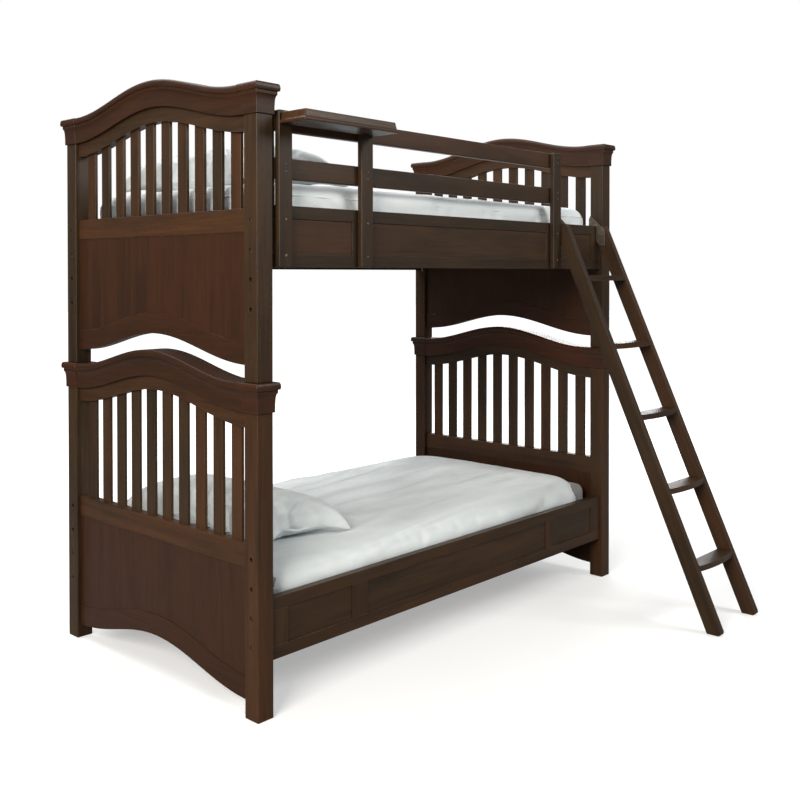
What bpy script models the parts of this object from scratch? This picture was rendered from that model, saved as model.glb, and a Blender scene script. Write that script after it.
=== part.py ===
"""Twin-over-twin bunk bed with arched, slatted ends and a leaning ladder, piece by piece.

Metres, +Z up. +X runs along the bed from the head end to the foot end, and -Y is the front, where
the ladder leans. The origin is on the floor, under the middle of the object's bounding box.
"""
import math
from collections import namedtuple

import bmesh
import bpy
from mathutils import Matrix, Vector

GAP = 0.0003            # clearance between pieces that touch
MERGE = 0.00005         # distance at which a filled outline's loose caps are welded

# The frame, measured over the posts
LENGTH = 2.06
WIDTH = 1.09
POST = 0.062
POST_EASE = 0.003
CAP_HEIGHT = 0.0918

# A tier is one bed. Heights are above the floor; the upper bed's ends are shorter.
Tier = namedtuple("Tier", "name base post_top rail_centre bolt_rows")
BOLT_HEIGHTS = (0.220, 0.310, 0.398, 0.488)     # above the foot of each post
LOWER_POST_TOP = 0.9304
UPPER_BASE = LOWER_POST_TOP + CAP_HEIGHT + GAP
UPPER_POST_TOP = 1.831
TIERS = (
    Tier("lower", 0.0, LOWER_POST_TOP, sum(BOLT_HEIGHTS[:2]) / 2, BOLT_HEIGHTS),
    Tier("upper", UPPER_BASE, UPPER_POST_TOP, UPPER_BASE + sum(BOLT_HEIGHTS[2:]) / 2, BOLT_HEIGHTS),
)
ENDS = (("head", -1), ("foot", 1))
SIDES = (("front", -1), ("back", 1))

# Post holes: one counterbore for each rail bolt, and a socket for the stacking pin
BOLT_BORE_RADIUS = 0.0060
BOLT_BORE_DEPTH = 0.010
PIN_RADIUS = 0.0060
PIN_SOCKET_RADIUS = 0.0065
PIN_IN_CAP = 0.050
PIN_IN_POST = 0.040

# End panels. Every arch is one raised-cosine wave between the posts.
OPENING = WIDTH - 2 * POST              # clear width between a panel's posts
ARCH_RISE = 0.0775
CROWN_TOP_RISE = 0.0745
ARCH_HALF_SPAN = OPENING / 2
CROWN_TOP_HALF_SPAN = 0.455             # the crown's top edge is a slightly tighter wave
ARCH_STEPS = 20
RAIL_THICK = 0.036
TOP_RAIL_HEIGHT = 0.0475
MID_RAIL_LOW = 0.455                    # above the foot of the panel's posts
MID_RAIL_HIGH = 0.527
FOOT_ARCH_LOW = 0.050                   # underside of the bottom rail, beside the posts
FOOT_RAIL_HEIGHT = 0.070
PANEL_THICK = 0.030
SLAT_COUNT = 10
SLAT_WIDTH = 0.048
SLAT_THICK = 0.012
SLAT_TENON = 0.015

# Cap and crown moulding: overhang past the post's face, height above the post's top
CAP_LEVELS = (
    (0.0050, 0.0000),
    (0.0055, 0.0230),
    (0.0070, 0.0380),
    (0.0115, 0.0570),
    (0.0115, 0.0690),
    (0.0165, 0.0705),
    (0.0180, 0.0745),
    (0.0155, 0.0860),
    (0.0128, CAP_HEIGHT),
)
MOULDING_SETBACK = 0.003                # the moulding lies this far inside the cap blocks
MOULDING_INSET = 0.0006                 # and this far inside their top and bottom
CAP_OVERHANG = max(overhang for overhang, _ in CAP_LEVELS)

# Side rails, ledgers and the slat decks
SIDE_SETBACK = 0.0125                   # rail face behind the post's face
SIDE_THICK = 0.029
SIDE_HEIGHT = 0.190
PANEL_MARGIN = 0.040                    # frame width above and below a recess
END_STILE = 0.0715
MID_STILE = 0.0725
SHORT_RECESS = 0.2865
RECESS_DEPTH = 0.004
BOARD_EASE = 0.0015                     # bevel on the rails' and ledgers' edges
LEDGER_WIDTH = 0.022
LEDGER_HEIGHT = 0.035
LEDGER_END_GAP = 0.010
DECK_HEIGHT = 0.0750                    # deck top above the rail's underside
DECK_SLATS = 13
DECK_SLAT_WIDTH = 0.070
DECK_SLAT_THICK = 0.018
DECK_SIDE_GAP = 0.003
DECK_END_GAP = 0.012
STRAP_WIDTH = 0.030
STRAP_THICK = 0.002
STRAP_Y = 0.30

# Bedding
MATTRESS = (1.895, 0.985, 0.200)         # short enough to lift out past the crowns
MATTRESS_CORNER = 0.040
MATTRESS_EDGE = 0.025
PILLOW = (0.46, 0.80, 0.16)
PILLOW_RISE = 0.75                      # share of its height above the hem
PILLOW_HEM = 0.18                       # thickness at the hem, as a share of the middle's
PILLOW_END_MARGIN = 0.020               # pillow to the end of the mattress

# Guard rails
GUARD_THICK = 0.022
GUARD_MID = (1.641, 1.706)              # bottom and top of the middle board
GUARD_TOP = (1.787, 1.849)
UPRIGHT_WIDTH = 0.055
UPRIGHT_THICK = 0.0217
UPRIGHT_FIRST = 0.108                   # centres of the uprights from the head end
UPRIGHT_SECOND = 0.471
UPRIGHT_LAST = 1.6195
END_STRIP_WIDTH = 0.0175                # strip that closes the gap beside the head post

# Tray screwed to the first two uprights
TRAY_LOW = 1.806
TRAY_DEPTH = 0.115
TRAY_WALL = 0.010
TRAY_LEVELS = (                         # inset of the moulded edge, height above the underside
    (0.0000, 0.0000),
    (0.0000, 0.0080),
    (0.0040, 0.0120),
    (0.0065, 0.0200),
    (0.0080, 0.0350),
)

# Ladder. Its stringers lean; y is the distance in front of the posts' front faces.
LADDER_FRONT_REACH = 0.702              # stringer front edge at the floor
LADDER_BACK_REACH = 0.642               # stringer back edge at the floor
LADDER_SLOPE = 0.4327                   # run for each unit of rise
LADDER_SHOE_RADIUS = 0.012
LADDER_NOSE_RADIUS = 0.026
LADDER_TOP = 1.560
STRINGER_THICK = 0.029
STRINGER_LEFT = 1.6495                  # outer face of the first stringer, from the head end
LADDER_WIDTH = 0.346
TREAD_COUNT = 5
TREAD_FIRST = 0.2405                    # top of the lowest tread
TREAD_PITCH = 0.2756
TREAD_THICK = 0.022
TREAD_BOW = 0.014                       # how far the front edge bows out past the stringers
TREAD_EASE = 0.005
HOOK_THICK = 0.004
HOOK_FRONT = -0.030                     # the plate on the stringer, in front of the posts' faces
HOOK_BACK = -0.004
HOOK_FOOT_DROP = 0.088                  # heights below the side rail's top
HOOK_TAPER_DROP = 0.066
HOOK_LIP_DROP = 0.040
HOOK_SHOULDER_DROP = 0.018
HOOK_PLATE_RISE = 0.004                 # heights above the side rail's top
HOOK_LIP_RISE = 0.030
HOOK_CREST_RISE = 0.046
HOOK_LIP_THICK = 0.006
HOOK_CLEARANCE = 0.001

# The furthest point of the ladder's shoe, past its rounded corner
SHOE_LEAN = LADDER_SLOPE + math.hypot(1.0, LADDER_SLOPE) - 1.0
FOOT_REACH = LADDER_FRONT_REACH - LADDER_SHOE_RADIUS * SHOE_LEAN
BED_Y = (FOOT_REACH - CAP_OVERHANG) / 2  # middle of the frame, so that the origin is centred
FRONT_Y = BED_Y - WIDTH / 2              # the posts' front faces
HEAD_X = -LENGTH / 2                     # outer faces of the head posts

PRISM_ALONG_Y = Matrix.Rotation(math.pi / 2, 4, "X")
PRISM_ALONG_X = Matrix(((0, 0, 1, 0), (1, 0, 0, 0), (0, 1, 0, 0), (0, 0, 0, 1)))


def clear_scene():
    for obj in list(bpy.data.objects):
        bpy.data.objects.remove(obj, do_unlink=True)


def new_collection(name):
    collection = bpy.data.collections.new(name)
    bpy.context.scene.collection.children.link(collection)
    return collection


def make_material(name, colour, roughness, metallic=0.0):
    material = bpy.data.materials.new(name)
    material.use_nodes = True
    shader = material.node_tree.nodes["Principled BSDF"]
    shader.inputs["Base Color"].default_value = (*colour, 1.0)
    shader.inputs["Roughness"].default_value = roughness
    shader.inputs["Metallic"].default_value = metallic
    material.diffuse_color = (*colour, 1.0)
    return material


# ---------------------------------------------------------------- shapes

def add_part(name, bm, material, location=(0.0, 0.0, 0.0)):
    bmesh.ops.recalc_face_normals(bm, faces=bm.faces)
    mesh = bpy.data.meshes.new(name)
    bm.to_mesh(mesh)
    bm.free()
    mesh.materials.append(material)
    obj = bpy.data.objects.new(name, mesh)
    obj.location = location
    PARTS.objects.link(obj)
    return obj


def ease_edges(obj, width, segments=1):
    bevel = obj.modifiers.new("eased_edges", "BEVEL")
    bevel.width = width
    bevel.segments = segments
    bevel.limit_method = "ANGLE"
    return obj


def cube_into(bm, low, high):
    """Adds a box between two corners to bm."""
    size = Vector(high) - Vector(low)
    middle = (Vector(high) + Vector(low)) / 2
    place = Matrix.Translation(middle) @ Matrix.Diagonal((*size, 1.0))
    bmesh.ops.create_cube(bm, size=1.0, matrix=place)


def box(name, low, high, material, ease=0.0):
    middle = (Vector(high) + Vector(low)) / 2
    bm = bmesh.new()
    cube_into(bm, Vector(low) - middle, Vector(high) - middle)
    obj = add_part(name, bm, material, middle)
    if ease:
        ease_edges(obj, ease)
    return obj


def stacked_block(rings):
    """A block grown ring by ring. A ring is a rectangle about z, (x0, y0, x1, y1), and its z."""
    bm = bmesh.new()
    bmesh.ops.create_cube(bm, size=1.0)
    for vert in bm.verts:
        set_ring_corner(vert, rings[int(vert.co.z > 0)])
    top = [face for face in bm.faces if face.calc_center_median().z > rings[1][1] - MERGE]
    for ring in rings[2:]:
        top = bmesh.ops.extrude_discrete_faces(bm, faces=top)["faces"]
        for vert in top[0].verts:
            set_ring_corner(vert, ring)
    return bm


def set_ring_corner(vert, ring):
    (x0, y0, x1, y1), z = ring
    vert.co = (x1 if vert.co.x > 0 else x0, y1 if vert.co.y > 0 else y0, z)


def rod_into(bm, radius, start, end, sides):
    """Adds a round bar between two points to bm."""
    along = Vector(end) - Vector(start)
    turn = along.to_track_quat("Z", "Y").to_matrix().to_4x4()
    place = Matrix.Translation((Vector(end) + Vector(start)) / 2) @ turn
    bmesh.ops.create_cone(
        bm, cap_ends=True, segments=sides, radius1=radius, radius2=radius,
        depth=along.length, matrix=place,
    )


def prism(outline, thickness, turn=Matrix.Identity(4)):
    """A flat outline, filled and extruded both ways by half its thickness, as a bmesh."""
    curve = bpy.data.curves.new("outline", "CURVE")
    curve.dimensions = "2D"
    curve.fill_mode = "BOTH"
    curve.extrude = thickness / 2
    spline = curve.splines.new("POLY")
    spline.points.add(len(outline) - 1)
    for point, (u, v) in zip(spline.points, outline):
        point.co = (u, v, 0.0, 1.0)
    spline.use_cyclic_u = True
    holder = bpy.data.objects.new("outline", curve)
    PARTS.objects.link(holder)
    bpy.context.view_layer.update()
    solid = holder.evaluated_get(bpy.context.evaluated_depsgraph_get())
    mesh = bpy.data.meshes.new_from_object(solid)
    bm = bmesh.new()
    bm.from_mesh(mesh)
    bmesh.ops.remove_doubles(bm, verts=bm.verts, dist=MERGE)
    bmesh.ops.transform(bm, matrix=turn, verts=bm.verts)
    bpy.data.objects.remove(holder)
    bpy.data.curves.remove(curve)
    bpy.data.meshes.remove(mesh)
    return bm


def cut_along_y(bm, cuts):
    """Divides every edge that runs along Y, so that the piece can be bent into an arch."""
    along = [edge for edge in bm.edges
             if abs((edge.verts[0].co - edge.verts[1].co).normalized().y) > 0.99]
    bmesh.ops.subdivide_edges(bm, edges=along, cuts=cuts, use_grid_fill=False)


def combine(obj, others, operation):
    """Joins others to obj, or cuts them out of it; they stay as guides in their own collection."""
    for other in others:
        PARTS.objects.unlink(other)
        CUTTERS.objects.link(other)
        other.hide_render = True
        other.display_type = "WIRE"
        boolean = obj.modifiers.new(other.name, "BOOLEAN")
        boolean.operation = operation
        boolean.solver = "EXACT"
        boolean.object = other
    return obj


def arc(centre, radius, start_deg, end_deg, steps):
    """Points of a circular arc, both ends included."""
    points = []
    for i in range(steps + 1):
        angle = math.radians(start_deg + (end_deg - start_deg) * i / steps)
        points.append((centre[0] + radius * math.cos(angle), centre[1] + radius * math.sin(angle)))
    return points


# ---------------------------------------------------------------- end panels

def arch(y, rise=ARCH_RISE, half_span=ARCH_HALF_SPAN):
    """Height of an arch at a distance y from the panel's middle."""
    reach = min(abs(y) / half_span, 1.0)
    return rise * (1 + math.cos(math.pi * reach)) / 2


def post(tier, end, side):
    """A square post, with counterbores for the rail bolts in its outer face."""
    end_name, end_sign = end
    side_name, side_sign = side
    x = end_sign * (LENGTH - POST) / 2
    y = BED_Y + side_sign * (WIDTH - POST) / 2
    half = POST / 2
    piece = box(f"{tier.name}_{end_name}_{side_name}_post", (x - half, y - half, tier.base),
                (x + half, y + half, tier.post_top - GAP), WOOD, POST_EASE)
    holes = bmesh.new()
    outer = x + end_sign * (half + BOLT_BORE_DEPTH)
    inner = x + end_sign * (half - BOLT_BORE_DEPTH)
    for height in tier.bolt_rows:
        z = tier.base + height
        rod_into(holes, BOLT_BORE_RADIUS, (inner, y, z), (outer, y, z), 10)
    if tier.base:
        low = tier.base - PIN_IN_POST
        high = tier.base + PIN_IN_POST + GAP
        rod_into(holes, PIN_SOCKET_RADIUS, (x, y, low), (x, y, high), 12)
    return combine(piece, [add_part(piece.name + "_holes", holes, WOOD)], "DIFFERENCE")


def cap_block(name, x, y, z):
    """A square block with the moulding's profile on all four sides."""
    rings = []
    for overhang, height in CAP_LEVELS:
        half = POST / 2 + overhang
        rings.append(((-half, -half, half, half), height))
    return add_part(name, stacked_block(rings), WOOD, (x, y, z))


def crown(tier, end):
    """The arched crown moulding with its two cap blocks."""
    end_name, end_sign = end
    x = end_sign * (LENGTH - POST) / 2
    squeeze = (CAP_HEIGHT - 2 * MOULDING_INSET) / CAP_HEIGHT
    profile = [(POST / 2 + overhang - MOULDING_SETBACK, MOULDING_INSET + height * squeeze)
               for overhang, height in CAP_LEVELS]
    outline = profile + [(-half, height) for half, height in reversed(profile)]
    bm = prism(outline, WIDTH - POST, PRISM_ALONG_Y)
    cut_along_y(bm, ARCH_STEPS)
    for vert in bm.verts:
        level = vert.co.z / CAP_HEIGHT
        rise = ARCH_RISE + (CROWN_TOP_RISE - ARCH_RISE) * level
        half_span = ARCH_HALF_SPAN + (CROWN_TOP_HALF_SPAN - ARCH_HALF_SPAN) * level
        vert.co.z += arch(vert.co.y, rise, half_span)
    piece = add_part(f"{tier.name}_{end_name}_crown", bm, WOOD, (x, BED_Y, tier.post_top))
    caps = []
    for side_name, side_sign in SIDES:
        y = BED_Y + side_sign * (WIDTH - POST) / 2
        caps.append(cap_block(f"{piece.name}_{side_name}_cap", x, y, tier.post_top))
    combine(piece, caps, "UNION")
    if tier.base == 0:
        sockets = bmesh.new()
        for _, side_sign in SIDES:
            y = BED_Y + side_sign * (WIDTH - POST) / 2
            top = tier.post_top + CAP_HEIGHT
            rod_into(sockets, PIN_SOCKET_RADIUS, (x, y, top - PIN_IN_CAP), (x, y, top + PIN_IN_CAP), 12)
        combine(piece, [add_part(piece.name + "_sockets", sockets, WOOD)], "DIFFERENCE")
    return piece


def slat_frame(tier, end):
    """The arched top rail, ten slats and the middle rail, glued into one frame."""
    end_name, end_sign = end
    x = end_sign * (LENGTH - POST) / 2
    half_width = OPENING / 2 - GAP
    mid_low = tier.base + MID_RAIL_LOW
    mid_high = tier.base + MID_RAIL_HIGH
    half_rail = RAIL_THICK / 2
    name = f"{tier.name}_{end_name}_slat_frame"
    piece = box(name, (x - half_rail, BED_Y - half_width, mid_low),
                (x + half_rail, BED_Y + half_width, mid_high), WOOD)

    top = tier.post_top - GAP
    top_rail = bmesh.new()
    cube_into(top_rail, (-half_rail, -half_width, top - TOP_RAIL_HEIGHT), (half_rail, half_width, top))
    cut_along_y(top_rail, ARCH_STEPS)
    for vert in top_rail.verts:
        vert.co.z += arch(vert.co.y)
    rail = add_part(name + "_top_rail", top_rail, WOOD, (x, BED_Y, 0.0))

    slats = bmesh.new()
    space = (OPENING - SLAT_COUNT * SLAT_WIDTH) / (SLAT_COUNT + 1)
    for i in range(SLAT_COUNT):
        y = -OPENING / 2 + space + SLAT_WIDTH / 2 + i * (SLAT_WIDTH + space)
        high = top - TOP_RAIL_HEIGHT + arch(y) + SLAT_TENON
        cube_into(slats, (-SLAT_THICK / 2, y - SLAT_WIDTH / 2, mid_high - SLAT_TENON),
                  (SLAT_THICK / 2, y + SLAT_WIDTH / 2, high))
    slat_row = add_part(name + "_slats", slats, WOOD, (x, BED_Y, 0.0))
    return combine(piece, [slat_row, rail], "UNION")


def arched_board(name, x, low, high, thick, bend_top):
    """A board between the posts whose lower edge, and perhaps its upper one, follows the arch."""
    half_width = OPENING / 2 - GAP
    bm = bmesh.new()
    cube_into(bm, (-thick / 2, -half_width, low), (thick / 2, half_width, high))
    cut_along_y(bm, ARCH_STEPS)
    middle = (low + high) / 2
    for vert in bm.verts:
        if bend_top or vert.co.z < middle:
            vert.co.z += arch(vert.co.y)
    return add_part(name, bm, WOOD, (x, BED_Y, 0.0))


def end_panel(tier, end):
    """One complete end of a bed, in build order."""
    end_name, end_sign = end
    x = end_sign * (LENGTH - POST) / 2
    pieces = [post(tier, end, side) for side in SIDES]
    pieces.append(crown(tier, end))
    pieces.append(slat_frame(tier, end))
    foot_low = tier.base + FOOT_ARCH_LOW
    foot_high = foot_low + FOOT_RAIL_HEIGHT
    pieces.append(arched_board(f"{tier.name}_{end_name}_panel", x, foot_high + GAP,
                               tier.base + MID_RAIL_LOW - GAP, PANEL_THICK, False))
    pieces.append(arched_board(f"{tier.name}_{end_name}_foot_rail", x, foot_low, foot_high,
                               RAIL_THICK, True))
    return pieces


# ---------------------------------------------------------------- sides and decks

def side_span(side_sign, near, far):
    """Y range between two depths behind the posts' outer faces, for the front or the back side."""
    edge = BED_Y + side_sign * WIDTH / 2
    return sorted((edge - side_sign * near, edge - side_sign * far))


def rail_low(tier):
    return tier.rail_centre - SIDE_HEIGHT / 2


def side_rail(tier, side):
    """A side rail with one long and two short recessed panels on its outer face."""
    side_name, side_sign = side
    y0, y1 = side_span(side_sign, SIDE_SETBACK, SIDE_SETBACK + SIDE_THICK)
    low = rail_low(tier)
    reach = LENGTH / 2 - POST - GAP
    piece = box(f"{tier.name}_{side_name}_side_rail", (-reach, y0, low),
                (reach, y1, low + SIDE_HEIGHT), WOOD, BOARD_EASE)
    cut0, cut1 = side_span(side_sign, SIDE_SETBACK - RECESS_DEPTH, SIDE_SETBACK + RECESS_DEPTH)
    short_out = LENGTH / 2 - POST - END_STILE
    short_in = short_out - SHORT_RECESS
    long_end = short_in - MID_STILE
    recesses = bmesh.new()
    for x0, x1 in ((-short_out, -short_in), (-long_end, long_end), (short_in, short_out)):
        cube_into(recesses, (x0, cut0, low + PANEL_MARGIN),
                  (x1, cut1, low + SIDE_HEIGHT - PANEL_MARGIN))
    return combine(piece, [add_part(piece.name + "_recesses", recesses, WOOD)], "DIFFERENCE")


def ledger(tier, side):
    """The strip inside a side rail that the deck rests on."""
    side_name, side_sign = side
    near = SIDE_SETBACK + SIDE_THICK + GAP
    y0, y1 = side_span(side_sign, near, near + LEDGER_WIDTH)
    top = rail_low(tier) + DECK_HEIGHT - DECK_SLAT_THICK - GAP
    reach = LENGTH / 2 - POST - LEDGER_END_GAP
    return box(f"{tier.name}_{side_name}_ledger", (-reach, y0, top - LEDGER_HEIGHT),
               (reach, y1, top), PALE_WOOD, BOARD_EASE)


def deck(tier):
    """Slats across the bed, held at their spacing by two webbing straps."""
    top = rail_low(tier) + DECK_HEIGHT
    half_y = WIDTH / 2 - SIDE_SETBACK - SIDE_THICK - DECK_SIDE_GAP
    reach = LENGTH / 2 - POST - DECK_END_GAP
    pitch = (2 * reach - DECK_SLAT_WIDTH) / (DECK_SLATS - 1)
    slats = bmesh.new()
    for i in range(DECK_SLATS):
        x = -reach + i * pitch
        cube_into(slats, (x, -half_y, top - DECK_SLAT_THICK),
                  (x + DECK_SLAT_WIDTH, half_y, top - STRAP_THICK / 2))
    piece = add_part(f"{tier.name}_deck", slats, PALE_WOOD, (0.0, BED_Y, 0.0))
    straps = bmesh.new()
    for side_sign in (-1, 1):
        y = side_sign * STRAP_Y
        cube_into(straps, (-reach + DECK_SLAT_WIDTH / 3, y - STRAP_WIDTH / 2, top - STRAP_THICK),
                  (reach - DECK_SLAT_WIDTH / 3, y + STRAP_WIDTH / 2, top))
    strap_pair = add_part(piece.name + "_straps", straps, PALE_WOOD, (0.0, BED_Y, 0.0))
    return combine(piece, [strap_pair], "UNION")


def stacking_pin(end, side):
    """A steel dowel in the lower cap block that locates the upper post."""
    end_name, end_sign = end
    side_name, side_sign = side
    x = end_sign * (LENGTH - POST) / 2
    y = BED_Y + side_sign * (WIDTH - POST) / 2
    low = LOWER_POST_TOP + CAP_HEIGHT - PIN_IN_CAP + GAP
    bm = bmesh.new()
    half = (UPPER_BASE + PIN_IN_POST - low) / 2
    rod_into(bm, PIN_RADIUS, (0, 0, -half), (0, 0, half), 12)
    return add_part(f"{end_name}_{side_name}_stacking_pin", bm, STEEL, (x, y, low + half))


# ---------------------------------------------------------------- bedding

def mattress(tier):
    """A plain block with rounded upright corners and softened edges."""
    low = rail_low(tier) + DECK_HEIGHT + GAP
    half = Vector(MATTRESS) / 2
    bm = bmesh.new()
    cube_into(bm, -half, half)
    upright = [edge for edge in bm.edges
               if abs((edge.verts[0].co - edge.verts[1].co).normalized().z) > 0.99]
    bmesh.ops.bevel(bm, geom=upright, offset=MATTRESS_CORNER, segments=4, profile=0.5,
                    affect="EDGES")
    rims = [edge for edge in bm.edges
            if abs(edge.verts[0].co.z - edge.verts[1].co.z) < MERGE
            and not all(abs(face.normal.z) < 0.5 for face in edge.link_faces)]
    bmesh.ops.bevel(bm, geom=rims, offset=MATTRESS_EDGE, segments=2, profile=0.5, affect="EDGES")
    return add_part(f"{tier.name}_mattress", bm, LINEN, (0.0, BED_Y, low + half.z))


def pillow(tier):
    """A squashed cushion, thick in the middle and thin at its hem, and flatter underneath."""
    length, width, height = PILLOW
    bm = bmesh.new()
    bmesh.ops.create_cube(bm, size=2.0)
    bmesh.ops.subdivide_edges(bm, edges=bm.edges, cuts=3, use_grid_fill=True)
    for vert in bm.verts:
        u, v, w = vert.co
        swell = (1 - abs(u) ** 3) * (1 - abs(v) ** 4)
        share = PILLOW_RISE if w > 0 else 1 - PILLOW_RISE
        thick = height * share * (PILLOW_HEM + (1 - PILLOW_HEM) * swell)
        vert.co = (u * length / 2, v * width / 2, w * thick)
    x = -MATTRESS[0] / 2 + PILLOW_END_MARGIN + length / 2
    low = rail_low(tier) + DECK_HEIGHT + GAP + MATTRESS[2] + GAP
    hem_height = height * (1 - PILLOW_RISE)
    return add_part(f"{tier.name}_pillow", bm, LINEN, (x, BED_Y, low + hem_height))


# ---------------------------------------------------------------- guard rails and tray

def board_along_x(name, x0, x1, y_span, z_span, ease=0.003):
    return box(name, (x0, y_span[0], z_span[0]), (x1, y_span[1], z_span[1]), WOOD, ease)


def front_guard():
    """Two boards on three uprights, ending where the ladder comes up, and an end strip."""
    board_y = side_span(-1, SIDE_SETBACK, SIDE_SETBACK + GUARD_THICK)
    upright_y = side_span(-1, SIDE_SETBACK - GAP, SIDE_SETBACK - GAP - UPRIGHT_THICK)
    x0 = HEAD_X + UPRIGHT_FIRST - UPRIGHT_WIDTH / 2
    x1 = HEAD_X + UPRIGHT_LAST + UPRIGHT_WIDTH / 2
    pieces = [
        board_along_x("front_guard_mid_board", x0, x1, board_y, GUARD_MID),
        board_along_x("front_guard_top_board", x0, x1, board_y, GUARD_TOP),
    ]
    post_face = HEAD_X + POST + GAP
    foot = rail_low(TIERS[1])
    pieces.append(board_along_x("front_guard_end_strip", post_face, post_face + END_STRIP_WIDTH,
                                board_y, (foot + SIDE_HEIGHT + GAP, UPPER_POST_TOP - GAP), 0.001))
    for place, centre in (("head", UPRIGHT_FIRST), ("middle", UPRIGHT_SECOND), ("foot", UPRIGHT_LAST)):
        x = HEAD_X + centre
        pieces.append(board_along_x(f"front_guard_{place}_upright", x - UPRIGHT_WIDTH / 2,
                                    x + UPRIGHT_WIDTH / 2, upright_y, (foot, GUARD_TOP[1])))
    return pieces


def tray():
    """A shallow tray with a moulded edge, on the outside of the guard's first two uprights."""
    back = side_span(-1, SIDE_SETBACK - 2 * GAP - UPRIGHT_THICK, 0.0)[0]
    half_x = (UPRIGHT_SECOND - UPRIGHT_FIRST + UPRIGHT_WIDTH) / 2
    half_y = TRAY_DEPTH / 2
    x = HEAD_X + (UPRIGHT_FIRST + UPRIGHT_SECOND) / 2
    y = back - half_y
    rings = []
    for inset, height in TRAY_LEVELS:
        rings.append(((inset - half_x, inset - half_y, half_x - inset, half_y), height))
    piece = add_part("tray", stacked_block(rings), WOOD, (x, y, TRAY_LOW))
    rim, height = TRAY_LEVELS[-1]
    wall = rim + TRAY_WALL
    hollow = box("tray_hollow", (x - half_x + wall, y - half_y + wall, TRAY_LOW + TRAY_WALL),
                 (x + half_x - wall, y + half_y - TRAY_WALL, TRAY_LOW + height + TRAY_WALL), WOOD)
    return combine(piece, [hollow], "DIFFERENCE")


# ---------------------------------------------------------------- ladder

def stringer(name, x0):
    """A leaning side of the ladder: flat on the floor, plumb in line with the posts."""
    lean = math.degrees(math.atan(LADDER_SLOPE))
    slant = math.hypot(1.0, LADDER_SLOPE)
    radius = LADDER_SHOE_RADIUS
    shoe_y = -LADDER_FRONT_REACH + radius * (LADDER_SLOPE + slant)
    nose = LADDER_NOSE_RADIUS
    nose_z = LADDER_TOP - nose
    nose_y = -LADDER_FRONT_REACH + nose_z * LADDER_SLOPE + nose * slant
    outline = [(-LADDER_BACK_REACH, 0.0)]
    outline.append((0.0, LADDER_BACK_REACH / LADDER_SLOPE))
    outline.append((0.0, LADDER_TOP))
    outline += arc((nose_y, nose_z), nose, 90, 180 - lean, 5)
    outline += arc((shoe_y, radius), radius, 180 - lean, 270, 5)
    bm = prism(outline, STRINGER_THICK, PRISM_ALONG_X)
    piece = add_part(name, bm, WOOD, (x0 + STRINGER_THICK / 2, FRONT_Y, 0.0))
    return ease_edges(piece, 0.003)


def tread(index, x0, x1):
    """A flat step with a bowed front edge, between the stringers."""
    top = TREAD_FIRST + index * TREAD_PITCH
    front = -LADDER_FRONT_REACH + (top - TREAD_THICK / 2) * LADDER_SLOPE
    back = -LADDER_BACK_REACH + (top - TREAD_THICK) * LADDER_SLOPE
    half = (x1 - x0) / 2 - GAP
    radius = (half ** 2 + TREAD_BOW ** 2) / (2 * TREAD_BOW)
    spread = math.degrees(math.asin(half / radius))
    outline = [(half, back), (-half, back)]
    outline += arc((0.0, front - TREAD_BOW + radius), radius, 270 - spread, 270 + spread, 10)
    bm = prism(outline, TREAD_THICK)
    for vert in bm.verts:
        vert.co.z += top - TREAD_THICK / 2
    piece = add_part(f"ladder_tread_{index + 1}", bm, WOOD, ((x0 + x1) / 2, FRONT_Y, 0.0))
    return ease_edges(piece, TREAD_EASE)


def hook(name, x0):
    """A flat steel hook, on a stringer's inner face, that drops over the side rail."""
    rail_top = rail_low(TIERS[1]) + SIDE_HEIGHT
    face = SIDE_SETBACK
    behind = SIDE_SETBACK + SIDE_THICK
    front = face - HOOK_CLEARANCE
    lip = behind + HOOK_CLEARANCE
    outline = [
        (HOOK_FRONT, rail_top - HOOK_FOOT_DROP),
        (HOOK_BACK, rail_top - HOOK_FOOT_DROP),
        (front, rail_top - HOOK_TAPER_DROP),
        (front, rail_top + GAP),
        (lip, rail_top + GAP),
        (lip, rail_top - HOOK_LIP_DROP),
        (lip + HOOK_LIP_THICK, rail_top - HOOK_LIP_DROP),
        (lip + HOOK_LIP_THICK, rail_top + HOOK_LIP_RISE),
        (behind, rail_top + HOOK_CREST_RISE),
        (HOOK_BACK, rail_top + HOOK_PLATE_RISE),
        (HOOK_FRONT, rail_top - HOOK_SHOULDER_DROP),
    ]
    bm = prism(outline, HOOK_THICK, PRISM_ALONG_X)
    return add_part(name, bm, STEEL, (x0 + HOOK_THICK / 2, FRONT_Y, 0.0))


def ladder():
    """Two stringers, five treads and two hooks."""
    left = HEAD_X + STRINGER_LEFT
    right = left + LADDER_WIDTH - STRINGER_THICK
    inner = left + STRINGER_THICK
    pieces = [stringer("ladder_left_stringer", left), stringer("ladder_right_stringer", right)]
    pieces += [tread(i, inner, right) for i in range(TREAD_COUNT)]
    pieces.append(hook("ladder_left_hook", inner + GAP))
    pieces.append(hook("ladder_right_hook", right - GAP - HOOK_THICK))
    return pieces


# ---------------------------------------------------------------- assembly

def group(name, pieces, location):
    """Parents pieces to an empty that stands on their lift axis."""
    handle = bpy.data.objects.new(name, None)
    handle.location = location
    PARTS.objects.link(handle)
    bpy.context.view_layer.update()
    for piece in pieces:
        piece.parent = handle
        piece.matrix_parent_inverse = handle.matrix_world.inverted()
    return handle


def bed(tier):
    """One bed without its bedding."""
    pieces = []
    for end in ENDS:
        pieces += end_panel(tier, end)
    for side in SIDES:
        pieces.append(side_rail(tier, side))
        pieces.append(ledger(tier, side))
    pieces.append(deck(tier))
    return pieces


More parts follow.
